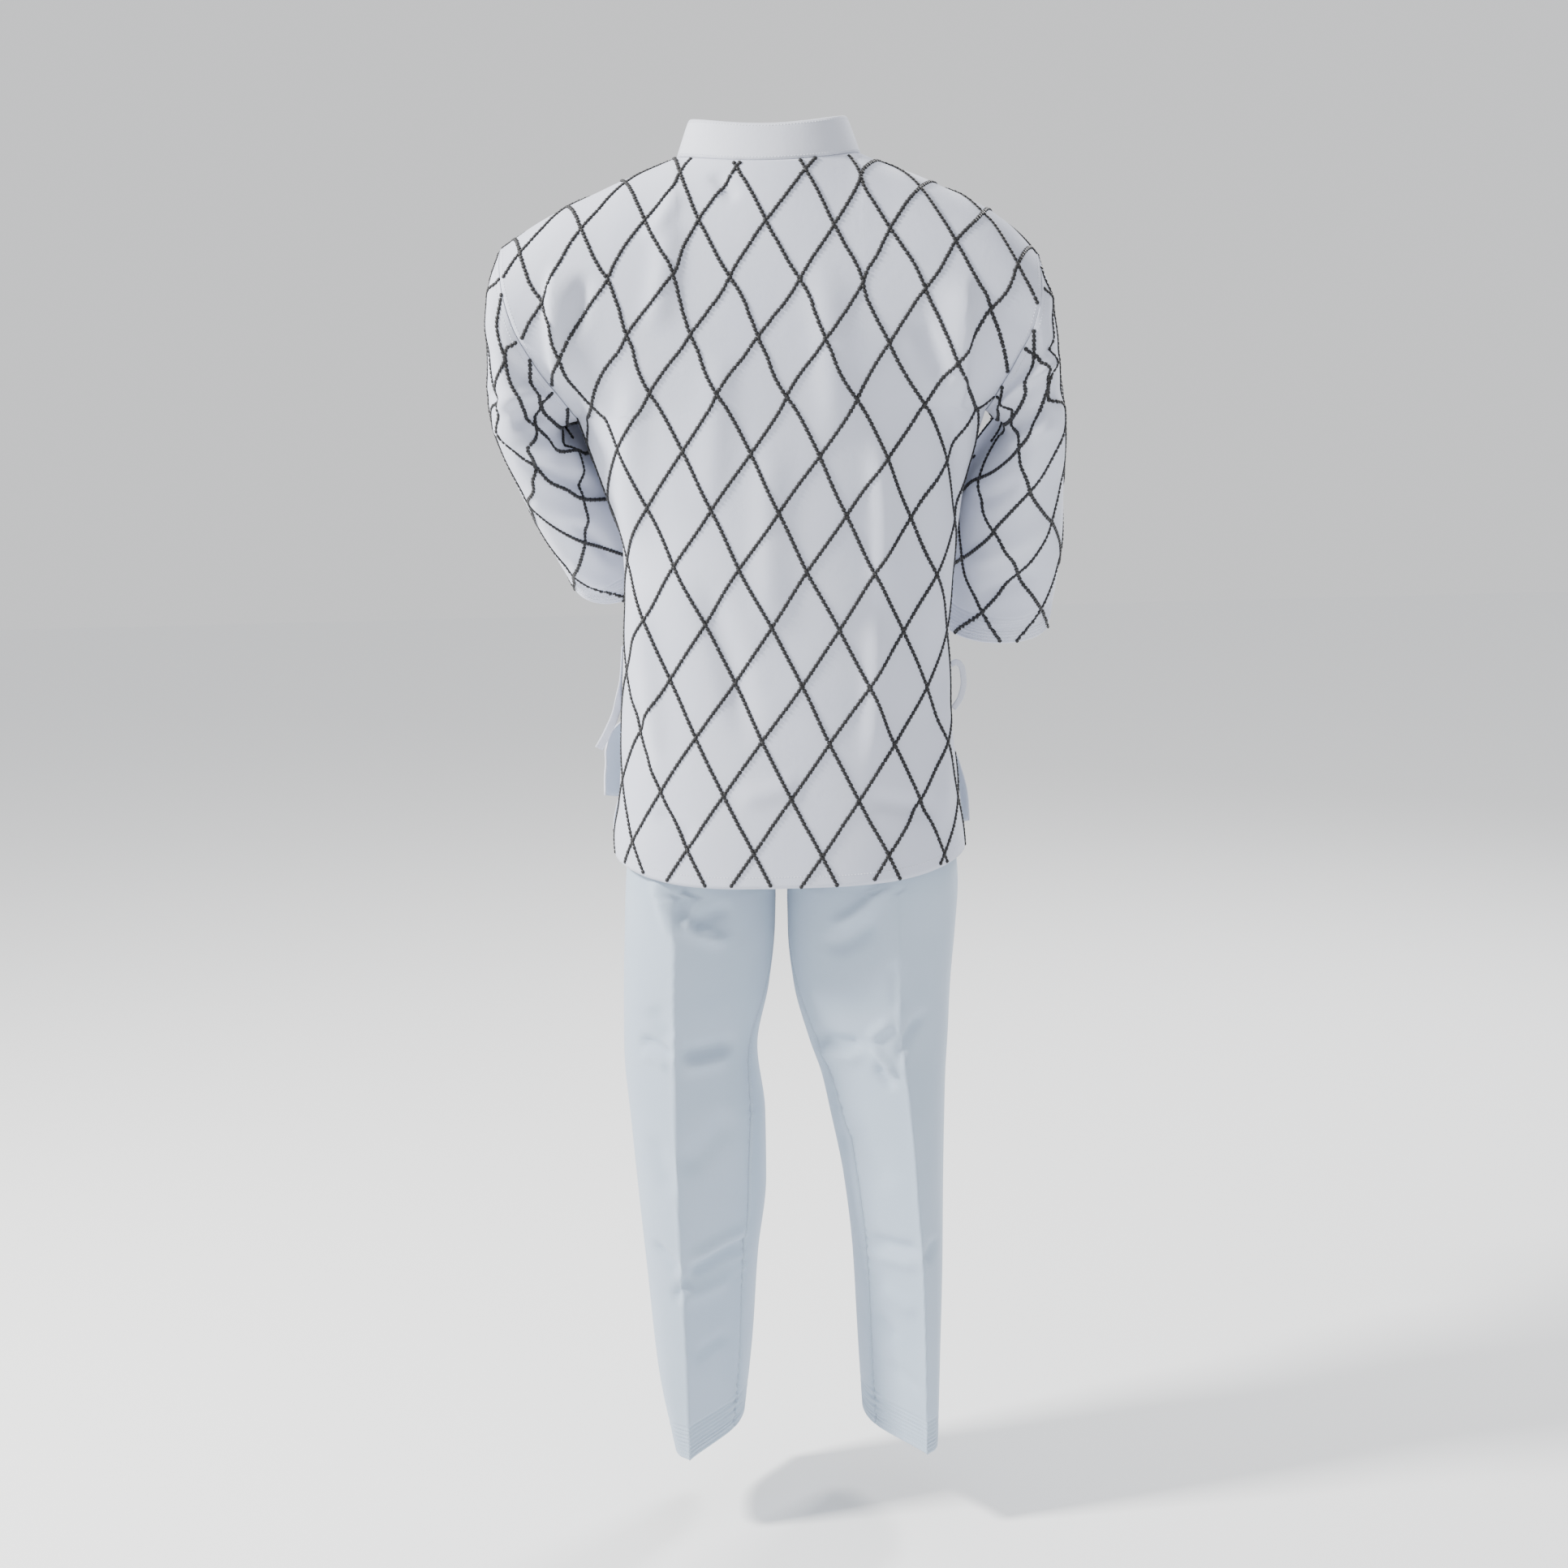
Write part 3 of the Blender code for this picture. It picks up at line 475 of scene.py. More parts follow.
def body_point(turn, level, front_high=False):
    """Jacket body: turn 0 is the left side, pi the right side, front positive; level -1 hem, 0 underarm, 1
    shoulder. The section is a rounded oval; above the underarm it opens at the armholes and rolls over to
    the shoulder line."""
    share = -power(np.cos(turn), 2 / SIDE_ROUND)
    low = np.clip(level, -2, 0)
    high = np.clip(level, 0, 2)
    hem = HEM_Z + HEM_SIDE_RISE * np.abs(share) ** 4
    lean = PI / 2 * high ** 1.25
    wide_l = curve(BODY_WIDTH, UNDERARM_Z + (UNDERARM_Z - hem) * low, 1)
    wide_r = curve(BODY_WIDTH, UNDERARM_Z + (UNDERARM_Z - hem) * low, 2)
    tall = power(np.sin(lean), 2 / SHOULDER_ROUND)
    arm_l = curve(ARMHOLE_WIDTH, tall, 1)
    arm_r = curve(ARMHOLE_WIDTH, tall, 2)
    wide = np.where(share < 0, np.where(level > 0, arm_l, wide_l), np.where(level > 0, arm_r, wide_r))
    x = share * wide
    near = np.clip(1 - (x / NECK_HALF) ** 2, 0, 1)
    line = np.where(x < 0, curve(SHOULDER_LINE, np.abs(x), 1), curve(SHOULDER_LINE, np.abs(x), 2))
    if front_high:
        top = line
    else:
        stop = np.arccos((NECK_BACK_SHARE * np.sqrt(near)) ** (SHOULDER_ROUND / 2))
        lean = lean * stop / (PI / 2)
        tall = power(np.sin(lean), 2 / SHOULDER_ROUND)
        top = UNDERARM_Z + (line - NECK_BACK_DIP * near - UNDERARM_Z) / np.sin(stop) ** (2 / SHOULDER_ROUND)
    roll = power(np.cos(lean), 2 / SHOULDER_ROUND)
    z = np.where(level > 0, UNDERARM_Z + (top - UNDERARM_Z) * tall, UNDERARM_Z + (UNDERARM_Z - hem) * low)
    arm = np.sqrt(np.clip(1 - (1 - np.clip(tall, 0, 1)) ** 2, 0, 1))
    part = (np.sin(turn) ** 2 + np.cos(turn) ** 2 * arm ** SIDE_ROUND) ** (1 / SIDE_ROUND)
    depth = np.where(np.sin(turn) > 0, curve(BODY_DEPTH, z, 2), curve(BODY_DEPTH, z, 1))
    y = np.sign(np.sin(turn)) * depth * roll * part
    return np.stack([x, y, z], -1)


def back_base(turn, level):
    """The back half of the body section."""
    return body_point(np.clip(turn, -PI + 1e-4, -1e-4), level)


def back_point(turn, level):
    """Back panel with its folds, which ease away at the armhole seams and the shoulder seams."""
    out = -normals(back_base, turn, level)
    calm = ease(np.minimum(-turn, PI + turn), 0.02, 0.30) * (1 - ease(level, 0.86, 1.0))
    return folded(back_base(turn, level), out, BODY_FOLDS, calm), out


def front_base(across, level, side):
    """A wrapped front without its layer: across is 0 at its own side seam and 1 at its front edge."""
    lean = PI / 2 * np.clip(level, 0, 1) ** 1.25
    tall = np.sin(lean) ** (2 / SHOULDER_ROUND)
    z = UNDERARM_Z + (UNDERARM_Z - HEM_Z) * np.clip(level, -1, 0)
    past = np.where(level > 0, curve(EDGE_HIGH, tall), curve(EDGE_LOW, z))
    if side > 0:
        past = past + UNDER_SPREAD * ease(-z, 0.57, 0.66)
    x = -side * past
    far = np.where(level > 0, curve(ARMHOLE_WIDTH, tall, 2), curve(BODY_WIDTH, z, 2))
    near = np.where(level > 0, curve(ARMHOLE_WIDTH, tall, 1), curve(BODY_WIDTH, z, 1))
    share = x / np.where(x > 0, far, near)
    end = np.arccos(-power(share, SIDE_ROUND / 2))
    open_vent = VENT_TURN * ease(-z, 0.47, 0.58)
    if side < 0:
        turn = open_vent + np.clip(across, 1e-5, 2) * (end - open_vent)
    else:
        turn = PI - open_vent - np.clip(across, 1e-5, 2) * (PI - open_vent - end)
    point = body_point(turn, level, True)
    low = ease(-point[..., 2], 0.52, 0.69)
    flare = OVER_FLARE if side < 0 else UNDER_FLARE
    point = point + flare * (low * (1 - ease(across, 0, 0.3)))[..., None]
    if side > 0:
        swing = ease(across, 0.70, 1.0)
        point = point + UNDER_SWING * (swing * ease(-point[..., 2], 0.56, 0.64))[..., None]
        point = point + UNDER_RISE * (swing * ease(-point[..., 2], 0.45, 0.73))[..., None]
    return point


def front_point(across, level, side):
    """A wrapped front lifted over or under the other one, with its folds."""
    base = front_base(across, level, side)
    out = -side * -normals(lambda a, b: front_base(a, b, side), across, level)
    lift = -side * LAYER_LIFT * ease(across, 0.0, 0.4) * (1 - ease(level, 0.55, 1.0))
    calm = ease(across, 0.0, 0.12) * (1 - ease(level, 0.8, 0.97))
    return folded(base + out * lift[..., None], out, BODY_FOLDS, calm), out


def sleeve_seam(turn, side):
    """Armhole seam: turn 0 at the shoulder, a quarter turn at the back, a half turn under the arm."""
    turn = np.mod(turn, 2 * PI)
    tall = np.clip((1 + np.cos(turn)) / 2, 1e-9, 1)
    level = (np.arcsin(tall ** (SHOULDER_ROUND / 2)) * 2 / PI) ** 0.8
    where = np.where(turn < PI, -1e-4, 1e-4)
    if side > 0:
        where = np.where(turn < PI, -PI + 1e-4, PI - 1e-4)
    return body_point(where, level)


def sleeve_base(turn, run, side):
    """Sleeve skin: oval loops set by the table, blended out of the armhole seam over its first part."""
    table = SLEEVE_LEFT if side < 0 else SLEEVE_RIGHT
    cx, cy, cz, wide, wide_tilt, deep, deep_tilt = (curve(table, run, k) for k in range(1, 8))
    wide_tilt = np.radians(wide_tilt)
    deep_tilt = np.radians(deep_tilt)
    c = np.cos(turn)
    s = np.sin(turn)
    x = cx + wide * np.cos(wide_tilt) * c
    y = cy - deep * np.cos(deep_tilt) * s
    z = cz + wide * np.sin(wide_tilt) * c - deep * np.sin(deep_tilt) * s
    ring = np.stack([side * x, y, z], -1)
    seam = sleeve_seam(turn, side) + np.array([side * 0.0006, 0.0, -0.0002])
    first = np.array(table[0][1:])
    tilt = np.radians(first[4])
    start = np.stack([side * (first[0] + first[3] * np.cos(tilt) * c), first[1] - first[5] * s,
                      first[2] + first[3] * np.sin(tilt) * c], -1)
    return ring + (seam - start) * (1 - ease(run, 0.0, 0.6))[..., None]


def sleeve_point(turn, run, side):
    """Sleeve skin with its folds, smooth at the armhole seam and at the stitched cuff, where the rows of
    stitching press shallow channels into it."""
    out = side * normals(lambda a, b: sleeve_base(a, b, side), turn, run, 0.008)
    axis = np.array([side * 0.91, 0.0, -0.41])
    flat = unit(out - (out @ axis)[..., None] * axis)
    first = (1 - ease(run, 0.0, 0.04))[..., None]
    out = unit(out * (1 - first) + flat * first)
    folds = SLEEVE_LEFT_FOLDS if side < 0 else SLEEVE_RIGHT_FOLDS
    calm = ease(run, 0.02, 0.16) * (1 - 0.7 * ease(run, 0.86, 0.97))
    return folded(sleeve_base(turn, run, side), out, folds, calm), out


def band_line(run):
    """Seam line of the collar band, from the left hem (-3) up to the left neck point (-1), round the back
    of the neck to the right neck point (1) and down to the right hem (3)."""
    run = np.asarray(run, float)
    out = np.zeros(run.shape + (3,))
    for side in (-1, 1):
        pick = run * side > 1
        level = 1 - np.clip(side * run[pick] - 1, 0, 2)
        out[pick] = front_point(np.ones_like(level), level, side)[0]
    pick = np.abs(run) <= 1
    share = NECK_HALF * run[pick] / np.where(run[pick] < 0, ARMHOLE_WIDTH[-1][1], ARMHOLE_WIDTH[-1][2])
    turn = -np.arccos(-power(share, SIDE_ROUND / 2))
    out[pick] = body_point(turn, np.ones_like(turn))
    return out


def band_point(run, across):
    """Skin of the band: across is 0 at its seam and 1 at its free edge. Round the neck it stands and leans
    inward; down the fronts it lies on, following the same surface as the front it is sewn to."""
    line = band_line(run)
    inward = unit(np.array([0.0, 0.01, 0.0]) - line * np.array([1.0, 1.0, 0.0]))
    stand = unit(np.array([0.0, 0.0, 1.0]) + 0.36 * inward)
    reach = 0.0004 + across * BAND_WIDE
    point = line + stand * reach[..., None]
    for side in (-1, 1):
        pick = run * side > 1
        level = np.clip(2 - side * run[pick], -1, 1)
        edge = front_base(np.ones_like(level), level, side)
        before = front_base(0.95 * np.ones_like(level), level, side)
        above = front_base(np.ones_like(level), level + 0.02, side)
        below = front_base(np.ones_like(level), level - 0.02, side)
        level_way = unit(edge - before)
        slant = np.linalg.norm(np.cross(level_way, unit(above - below)), axis=-1)
        share = reach[pick] / np.maximum(slant, 0.6) / (np.linalg.norm(edge - before, axis=-1) / 0.05)
        laid = front_point(1 + share, level, side)[0]
        lying = ease(1 - level, 0.05, 0.62)[..., None]
        point[pick] = point[pick] * (1 - lying) + laid * lying
    return point


def leg_base(turn, z, side):
    """Trouser leg: turn 0 at the side seam, a quarter turn at the front crease, a half at the inner edge,
    back negative. Each quarter is an oval arc from crease to edge, flattened beside the pressed creases."""
    table = LEG_LEFT if side < 0 else LEG_RIGHT
    outer, inner, crease_back, crease_front, deep_back, deep_front = (
        curve(table[::-1], z, k) for k in range(1, 7))
    front = turn > 0
    seat = np.clip((z - CROTCH_Z) / 0.13, 0, 1)
    seat = np.sqrt(1 - (1 - seat) ** 2) * 0.985
    t = np.abs(turn)
    over = t > PI
    t = np.where(over, np.where(seat > 0, PI, 2 * PI - t), t)
    sign = np.where(over & (seat <= 0), -1.0, 1.0) * np.where(front, 1.0, -1.0)
    front = sign > 0
    crease = np.where(front, crease_front, crease_back)
    deep = np.where(front, deep_front, deep_back)
    c = np.cos(t)
    s = np.abs(np.sin(t))
    away = np.where(c > 0, outer - crease, inner - crease + 0.0002)
    x = crease + away * np.abs(c)
    stay = np.where(c < 0, seat, 0.0)
    full = np.where(c < 0, 1 + np.clip(stay / 0.35, 0, 1), 1.0)
    rise = s ** full
    straight = 1 - np.abs(c)
    rise = rise + curve(CREASE_FLAT, z) * s ** 2 * (straight - rise) * (1 - stay)
    y = sign * deep * (stay + (1 - stay) * rise)
    y = y - LEG_TURN * np.where(c > 0, 0.4, 0.6) * c * ease(-z, 0.95, 1.386)
    return np.stack([side * x, y, z + 0 * x], -1)


def leg_point(turn, z, side):
    """Trouser leg with its folds, a sharp pressed ridge down each crease, and small puckers beside the
    inner seam."""
    du = leg_base(turn + 0.06, z, side) - leg_base(turn - 0.06, z, side)
    dv = leg_base(turn, z + 0.006, side) - leg_base(turn, z - 0.006, side)
    out = unit(np.cross(du, dv)) * side
    folds = LEG_LEFT_FOLDS if side < 0 else LEG_RIGHT_FOLDS
    point = folded(leg_base(turn, z, side), out, folds)
    press = np.exp(-np.abs(np.abs(turn) - PI / 2) / 0.045) * ease(-z, 0.74, 0.86)
    seam = np.where(turn < 0, -1, 1) * (np.abs(turn) - np.where(turn < 0, curve(INSEAM_TURN, z),
                                                               2 * PI - curve(INSEAM_TURN, z)))
    wave = np.sin(2 * PI * z / 0.0125 + 2.2 * np.sin(z * 61.0)) * (0.6 + 0.4 * np.sin(z * 37.0 + 1.0))
    pucker = 0.0011 * wave * np.exp(-(seam / 0.17) ** 2) * ease(-z, 0.92, 1.02)
    channel = -0.0009 * np.exp(-(seam / 0.035) ** 2)
    return point + out * (0.0020 * press + pucker + channel)[..., None], out


# Mesh making

CORNERS = ((slice(None, -1), slice(None, -1)), (slice(None, -1), slice(1, None)),
           (slice(1, None), slice(1, None)), (slice(1, None), slice(None, -1)))


def put_mesh(name, verts, faces, cloth=None, material=None):
    """Mesh object from whole arrays: points, faces with equal corner counts, and a cloth place for every
    corner."""
    mesh = bpy.data.meshes.new(name)
    count, sides = faces.shape
    mesh.vertices.add(len(verts))
    mesh.vertices.foreach_set("co", np.ascontiguousarray(verts, dtype=np.float32).ravel())
    mesh.loops.add(count * sides)
    mesh.loops.foreach_set("vertex_index", np.ascontiguousarray(faces, dtype=np.int32).ravel())
    mesh.polygons.add(count)
    mesh.polygons.foreach_set("loop_start", np.arange(0, count * sides, sides, dtype=np.int32))
    if cloth is not None:
        layer = mesh.uv_layers.new(name="cloth")
        layer.data.foreach_set("uv", np.ascontiguousarray(cloth, dtype=np.float32).ravel())
    mesh.update(calc_edges=True)
    mesh.polygons.foreach_set("use_smooth", np.ones(count, dtype=bool))
    obj = bpy.data.objects.new(name, mesh)
    bpy.context.scene.collection.objects.link(obj)
    if material is not None:
        mesh.materials.append(material)
    return obj


def shell(name, skin, outward, wall, place, material, ring=False):
    """Closed cloth shell: the outer skin grid, the same grid one wall further in, and rims along the open
    edges. place is each grid point's spot on the flat cloth in metres; on a ring it has one more column
    than the skin."""
    rows, cols = skin.shape[:2]
    verts = np.concatenate([skin.reshape(-1, 3), (skin - outward * wall).reshape(-1, 3)])
    index = np.arange(rows * cols).reshape(rows, cols)
    if ring:
        index = np.concatenate([index, index[:, :1]], 1)
    below = index + rows * cols
    flat = place.reshape(-1, 2)
    spot = np.arange(len(flat)).reshape(place.shape[:2])
    faces = [np.stack([index[c] for c in CORNERS], -1).reshape(-1, 4),
             np.stack([below[c] for c in CORNERS[::-1]], -1).reshape(-1, 4)]
    spots = [np.stack([spot[c] for c in CORNERS], -1).reshape(-1, 4),
             np.stack([spot[c] for c in CORNERS[::-1]], -1).reshape(-1, 4)]
    edges = [(index[0], below[0], spot[0]), (index[-1][::-1], below[-1][::-1], spot[-1][::-1])]
    if not ring:
        edges += [(index[::-1, 0], below[::-1, 0], spot[::-1, 0]), (index[:, -1], below[:, -1], spot[:, -1])]
    for top, under, at in edges:
        faces.append(np.stack([top[1:], top[:-1], under[:-1], under[1:]], -1))
        spots.append(np.stack([at[1:], at[:-1], at[:-1], at[1:]], -1))
    faces = np.concatenate(faces)
    spots = np.concatenate(spots)
    across = skin[:-1, 1:] - skin[:-1, :-1]
    upward = skin[1:, :-1] - skin[:-1, :-1]
    if np.sum(np.cross(across, upward) * outward[:-1, :-1]) < 0:
        faces = faces[:, ::-1]
        spots = spots[:, ::-1]
    return put_mesh(name, verts, faces, flat[spots.ravel()], material)


def skin_normals(skin, outward, ring=False):
    """Directions square to a finished grid, from its neighbouring points, facing the same way as
    outward."""
    if ring:
        wide = np.concatenate([skin[:, -1:], skin, skin[:, :1]], 1)
        du = wide[:, 2:] - wide[:, :-2]
    else:
        du = np.gradient(skin, axis=1)
    out = unit(np.cross(du, np.gradient(skin, axis=0)))
    flip = np.sign(np.sum(out * outward, -1, keepdims=True))
    return out * np.where(flip == 0, 1, flip)


def even_across(surface, rows, start, stop, count):
    """Parameter values that share each row's length evenly: the running length of a fine row, read
    backwards."""
    fine = np.linspace(0, 1, 500)
    start, stop = np.broadcast_to(start, rows.shape), np.broadcast_to(stop, rows.shape)
    across = start[:, None] + (stop - start)[:, None] * fine
    points = surface(across, np.broadcast_to(rows[:, None], across.shape))
    run = np.concatenate([np.zeros((len(rows), 1)),
                          np.cumsum(np.linalg.norm(np.diff(points, axis=1), axis=-1), 1)], 1)
    even = np.linspace(0, 1, count)
    return np.stack([np.interp(even * r[-1], r, a) for r, a in zip(run, across)])


def flat_places(skin, middle, ring=False, level_row=None):
    """Each grid point's spot on the flat cloth: length along its row from the middle column, and length up
    the rows. With a level row, the length up is each column's own, without its sideways part, and is zero
    at that row."""
    full = np.concatenate([skin, skin[:, :1]], 1) if ring else skin
    lengths = np.linalg.norm(np.diff(full, axis=1), axis=-1)
    run = np.concatenate([np.zeros((len(full), 1)), np.cumsum(lengths, 1)], 1)
    steps = np.linalg.norm(np.diff(full[..., 1 if level_row else 0:], axis=0), axis=-1)
    third = steps.shape[1] // 3
    if level_row is None:
        steps = np.broadcast_to(np.mean(steps[:, third:steps.shape[1] - third], 1)[:, None], steps.shape)
    rise = np.concatenate([np.zeros((1, steps.shape[1])), np.cumsum(steps, 0)])
    rise = rise - (rise[level_row] if level_row else 0)
    zero = np.array([np.interp(m, np.arange(full.shape[1]), r) for m, r in zip(middle, run)])
    return np.stack([run - zero[:, None], rise], -1)


def on_cloth(grid, row, col):
    """Value of a grid between its points, by their weighted mean."""
    i = np.clip(np.floor(row).astype(int), 0, grid.shape[0] - 2)
    j = np.clip(np.floor(col).astype(int), 0, grid.shape[1] - 2)
    a = (row - i)[:, None]
    b = (col - j)[:, None]
    return (grid[i, j] * (1 - a) * (1 - b) + grid[i, j + 1] * (1 - a) * b
            + grid[i + 1, j] * a * (1 - b) + grid[i + 1, j + 1] * a * b)


def seat_of(places, u, v):
    """Grid row and column of spots (u, v) on the flat cloth; outside the piece they come back as not a
    number. The row is first read from the middle column and then corrected by what is left of the length
    up, over its slope."""
    last_row, last_col = places.shape[0] - 1, places.shape[1] - 1
    slope = np.gradient(places[..., 1], axis=0)[..., None]
    row = np.interp(v, places[:, last_col // 2, 1], np.arange(last_row + 1))
    for _ in range(10):
        left = np.interp(row, np.arange(last_row + 1), places[:, 0, 0])
        right = np.interp(row, np.arange(last_row + 1), places[:, -1, 0])
        share = (u - left) / (right - left)
        col = np.clip(share, 0, 1) * last_col
        miss = v - on_cloth(places, row, col)[:, 1]
        row = np.clip(row + 0.8 * miss / on_cloth(slope, row, col)[:, 0], 0, last_row)
    good = (share >= 0) & (share <= 1) & (np.abs(miss) < 0.0015)
    return np.where(good, row, np.nan), np.where(good, col, np.nan)


# One stitch as a small closed bead: two rings of six points and two tips, lengthwise, sideways and upward
# shares
RING = np.arange(6) * PI / 3
BEAD = np.concatenate([[[-1, 0, 0]], np.stack([np.full(6, -0.5), np.cos(RING), np.sin(RING)], 1),
                       np.stack([np.full(6, 0.5), np.cos(RING), np.sin(RING)], 1), [[1, 0, 0]]])
NEXT = (np.arange(6) + 1) % 6
BEAD_FACES = np.concatenate([np.stack([np.zeros(6, int), 1 + NEXT, 1 + np.arange(6)], 1),
                             np.stack([1 + np.arange(6), 1 + NEXT, 7 + NEXT], 1),
                             np.stack([1 + np.arange(6), 7 + NEXT, 7 + np.arange(6)], 1),
                             np.stack([7 + np.arange(6), 7 + NEXT, np.full(6, 13)], 1)])


# One machine stitch as a smaller closed bead: a ring of four points and two tips
DASH = np.array([[-1, 0, 0], [0, 1, 0], [0, 0, 1], [0, -1, 0], [0, 0, -1], [1, 0, 0]], float)
DASH_FACES = np.array([[0, 2, 1], [0, 3, 2], [0, 4, 3], [0, 1, 4],
                       [5, 1, 2], [5, 2, 3], [5, 3, 4], [5, 4, 1]])


def stitches(name, place, along, outward, length, wide, high, material, bead=BEAD, bead_faces=BEAD_FACES):
    """Row of stitches: the bead carried to every place, its length along the row and its height off the
    cloth."""
    sideways = unit(np.cross(outward, along))
    along = unit(np.cross(sideways, outward))
    size = np.broadcast_to(np.stack(np.broadcast_arrays(length, wide, high), -1), (len(place), 3)) / 2
    verts = (place[:, None] + along[:, None] * (bead[None, :, :1] * size[:, None, :1])
             + sideways[:, None] * (bead[None, :, 1:2] * size[:, None, 1:2])
             + outward[:, None] * (bead[None, :, 2:] * size[:, None, 2:]))
    faces = bead_faces[None] + len(bead) * np.arange(len(place))[:, None, None]
    return put_mesh(name, verts.reshape(-1, 3), faces.reshape(-1, 3), None, material)


def diamond_stitches(name, skin, outward, places, start, across, down, margin=0.004):
    """Diamond stitching of a panel: straight lines on the flat cloth through the crossings at start +
    across steps + down half steps, both ways, read back to the folded skin in small steps. A stitch is set
    wherever the real length run along the line passes another pitch."""
    low = places.reshape(-1, 2).min(0)
    high = places.reshape(-1, 2).max(0)
    back = np.linalg.inv(np.stack([across, down], 1))
    corners = np.array([[low[0], low[1]], [low[0], high[1]], [high[0], low[1]], [high[0], high[1]]])
    steps = (corners - start) @ back.T
    spots, ways, lines = [], [], []
    for lean in (1, -1):
        line = steps[:, 0] + lean * steps[:, 1] / 2
        other = steps[:, 0] - lean * steps[:, 1] / 2
        for k in range(int(np.floor(line.min())), int(np.ceil(line.max())) + 1):
            way = across / 2 - lean * down
            m = np.arange(other.min(), other.max(), STITCH_PITCH / FINE_STEPS / np.linalg.norm(way))
            spots.append(start + (k + m)[:, None] / 2 * across + (lean * (k - m))[:, None] * down)
            ways.append(np.broadcast_to(unit(way), (len(m), 2)))
            lines.append(np.full(len(m), 1000 * k + lean))
    spots, ways, lines = np.concatenate(spots), np.concatenate(ways), np.concatenate(lines)
    row, col = seat_of(places, spots[:, 0], spots[:, 1])
    ahead_row, ahead_col = seat_of(places, *(spots + ways * 0.002).T)
    span = places[:, -1, 0] - places[:, 0, 0]
    inside = ~np.isnan(row) & ~np.isnan(ahead_row)
    columns = np.arange(places.shape[1])
    seat = np.nan_to_num(col)
    inside &= spots[:, 1] > np.interp(seat, columns, places[0, :, 1]) + margin * 0.3
    inside &= spots[:, 1] < np.interp(seat, columns, places[-1, :, 1]) - margin * 0.3
    wide = np.interp(np.nan_to_num(row), np.arange(len(span)), span)
    share = seat / (places.shape[1] - 1)
    inside &= (share * wide > margin * 0.5) & ((1 - share) * wide > margin * 0.5)
    row, col, ahead_row, ahead_col, lines = (a[inside] for a in (row, col, ahead_row, ahead_col, lines))
    full = skin if skin.shape[1] == places.shape[1] else np.concatenate([skin, skin[:, :1]], 1)
    face = outward if outward.shape[1] == places.shape[1] else np.concatenate([outward, outward[:, :1]], 1)
    here = on_cloth(full, row, col)
    gone = np.linalg.norm(np.diff(here, axis=0), axis=-1) * (lines[1:] == lines[:-1])
    gone = np.where(gone > STITCH_PITCH, 0, gone)
    run = np.concatenate([[0.0], np.cumsum(gone)])
    count = np.floor(run / STITCH_PITCH)
    set_here = np.concatenate([[True], np.diff(count) > 0])
    row, col, ahead_row, ahead_col, here, count = (
        a[set_here] for a in (row, col, ahead_row, ahead_col, here, count))
    along = on_cloth(full, ahead_row, ahead_col) - here
    up = unit(on_cloth(face, row, col))
    sideways = unit(np.cross(up, unit(along)))
    twist = unit(unit(along) + 0.22 * sideways)
    round_share = 0.5 + 0.5 * np.sin(count * 3.1)
    return stitches(name, here + up * 0.0004, twist, up, STITCH_PITCH * (1.24 - 0.08 * round_share),
                    0.0041 + 0.0008 * round_share, 0.0027 + 0.0006 * round_share, CORD)


def thread_rows(name, rows_of_points, material, length=0.0027, wide=0.0010, high=0.0007):
    """Machine stitching: stitches at even steps along each line of (points, outward directions)."""
    place, along, up = [], [], []
    for points, outs in rows_of_points:
        run = np.concatenate([[0.0], np.cumsum(np.linalg.norm(np.diff(points, axis=0), axis=-1))])
        at = np.arange(THREAD_PITCH / 2, run[-1], THREAD_PITCH)
        here = np.stack([np.interp(at, run, points[:, k]) for k in range(3)], -1)
        ahead = np.stack([np.interp(at + 0.0005, run, points[:, k]) for k in range(3)], -1)
        place.append(here)
        along.append(ahead - here + 1e-9)
        up.append(unit(np.stack([np.interp(at, run, outs[:, k]) for k in range(3)], -1)))
    place, along, up = np.concatenate(place), unit(np.concatenate(along)), np.concatenate(up)
    return stitches(name, place + up * 0.0001, along, up, length, wide, high, material, DASH, DASH_FACES)


# Materials


def tone(code):
    """Linear colour of an sRGB hex value: each channel through the sRGB curve."""
    parts = np.array([int(code[i:i + 2], 16) for i in (0, 2, 4)]) / 255
    linear = np.where(parts <= 0.04045, parts / 12.92, ((parts + 0.055) / 1.055) ** 2.4)
    return (*linear.tolist(), 1.0)


def add(tree, kind, settings, links=()):
    """One node with its settings (attributes, or input sockets by name or number) and the links into its
    inputs."""
    item = tree.nodes.new(kind)
    for key, value in settings.items():
        if isinstance(key, str) and hasattr(item, key):
            setattr(item, key, value)
        else:
            item.inputs[key].default_value = value
    for socket, source in links:
        tree.links.new(source, item.inputs[socket])
    return item


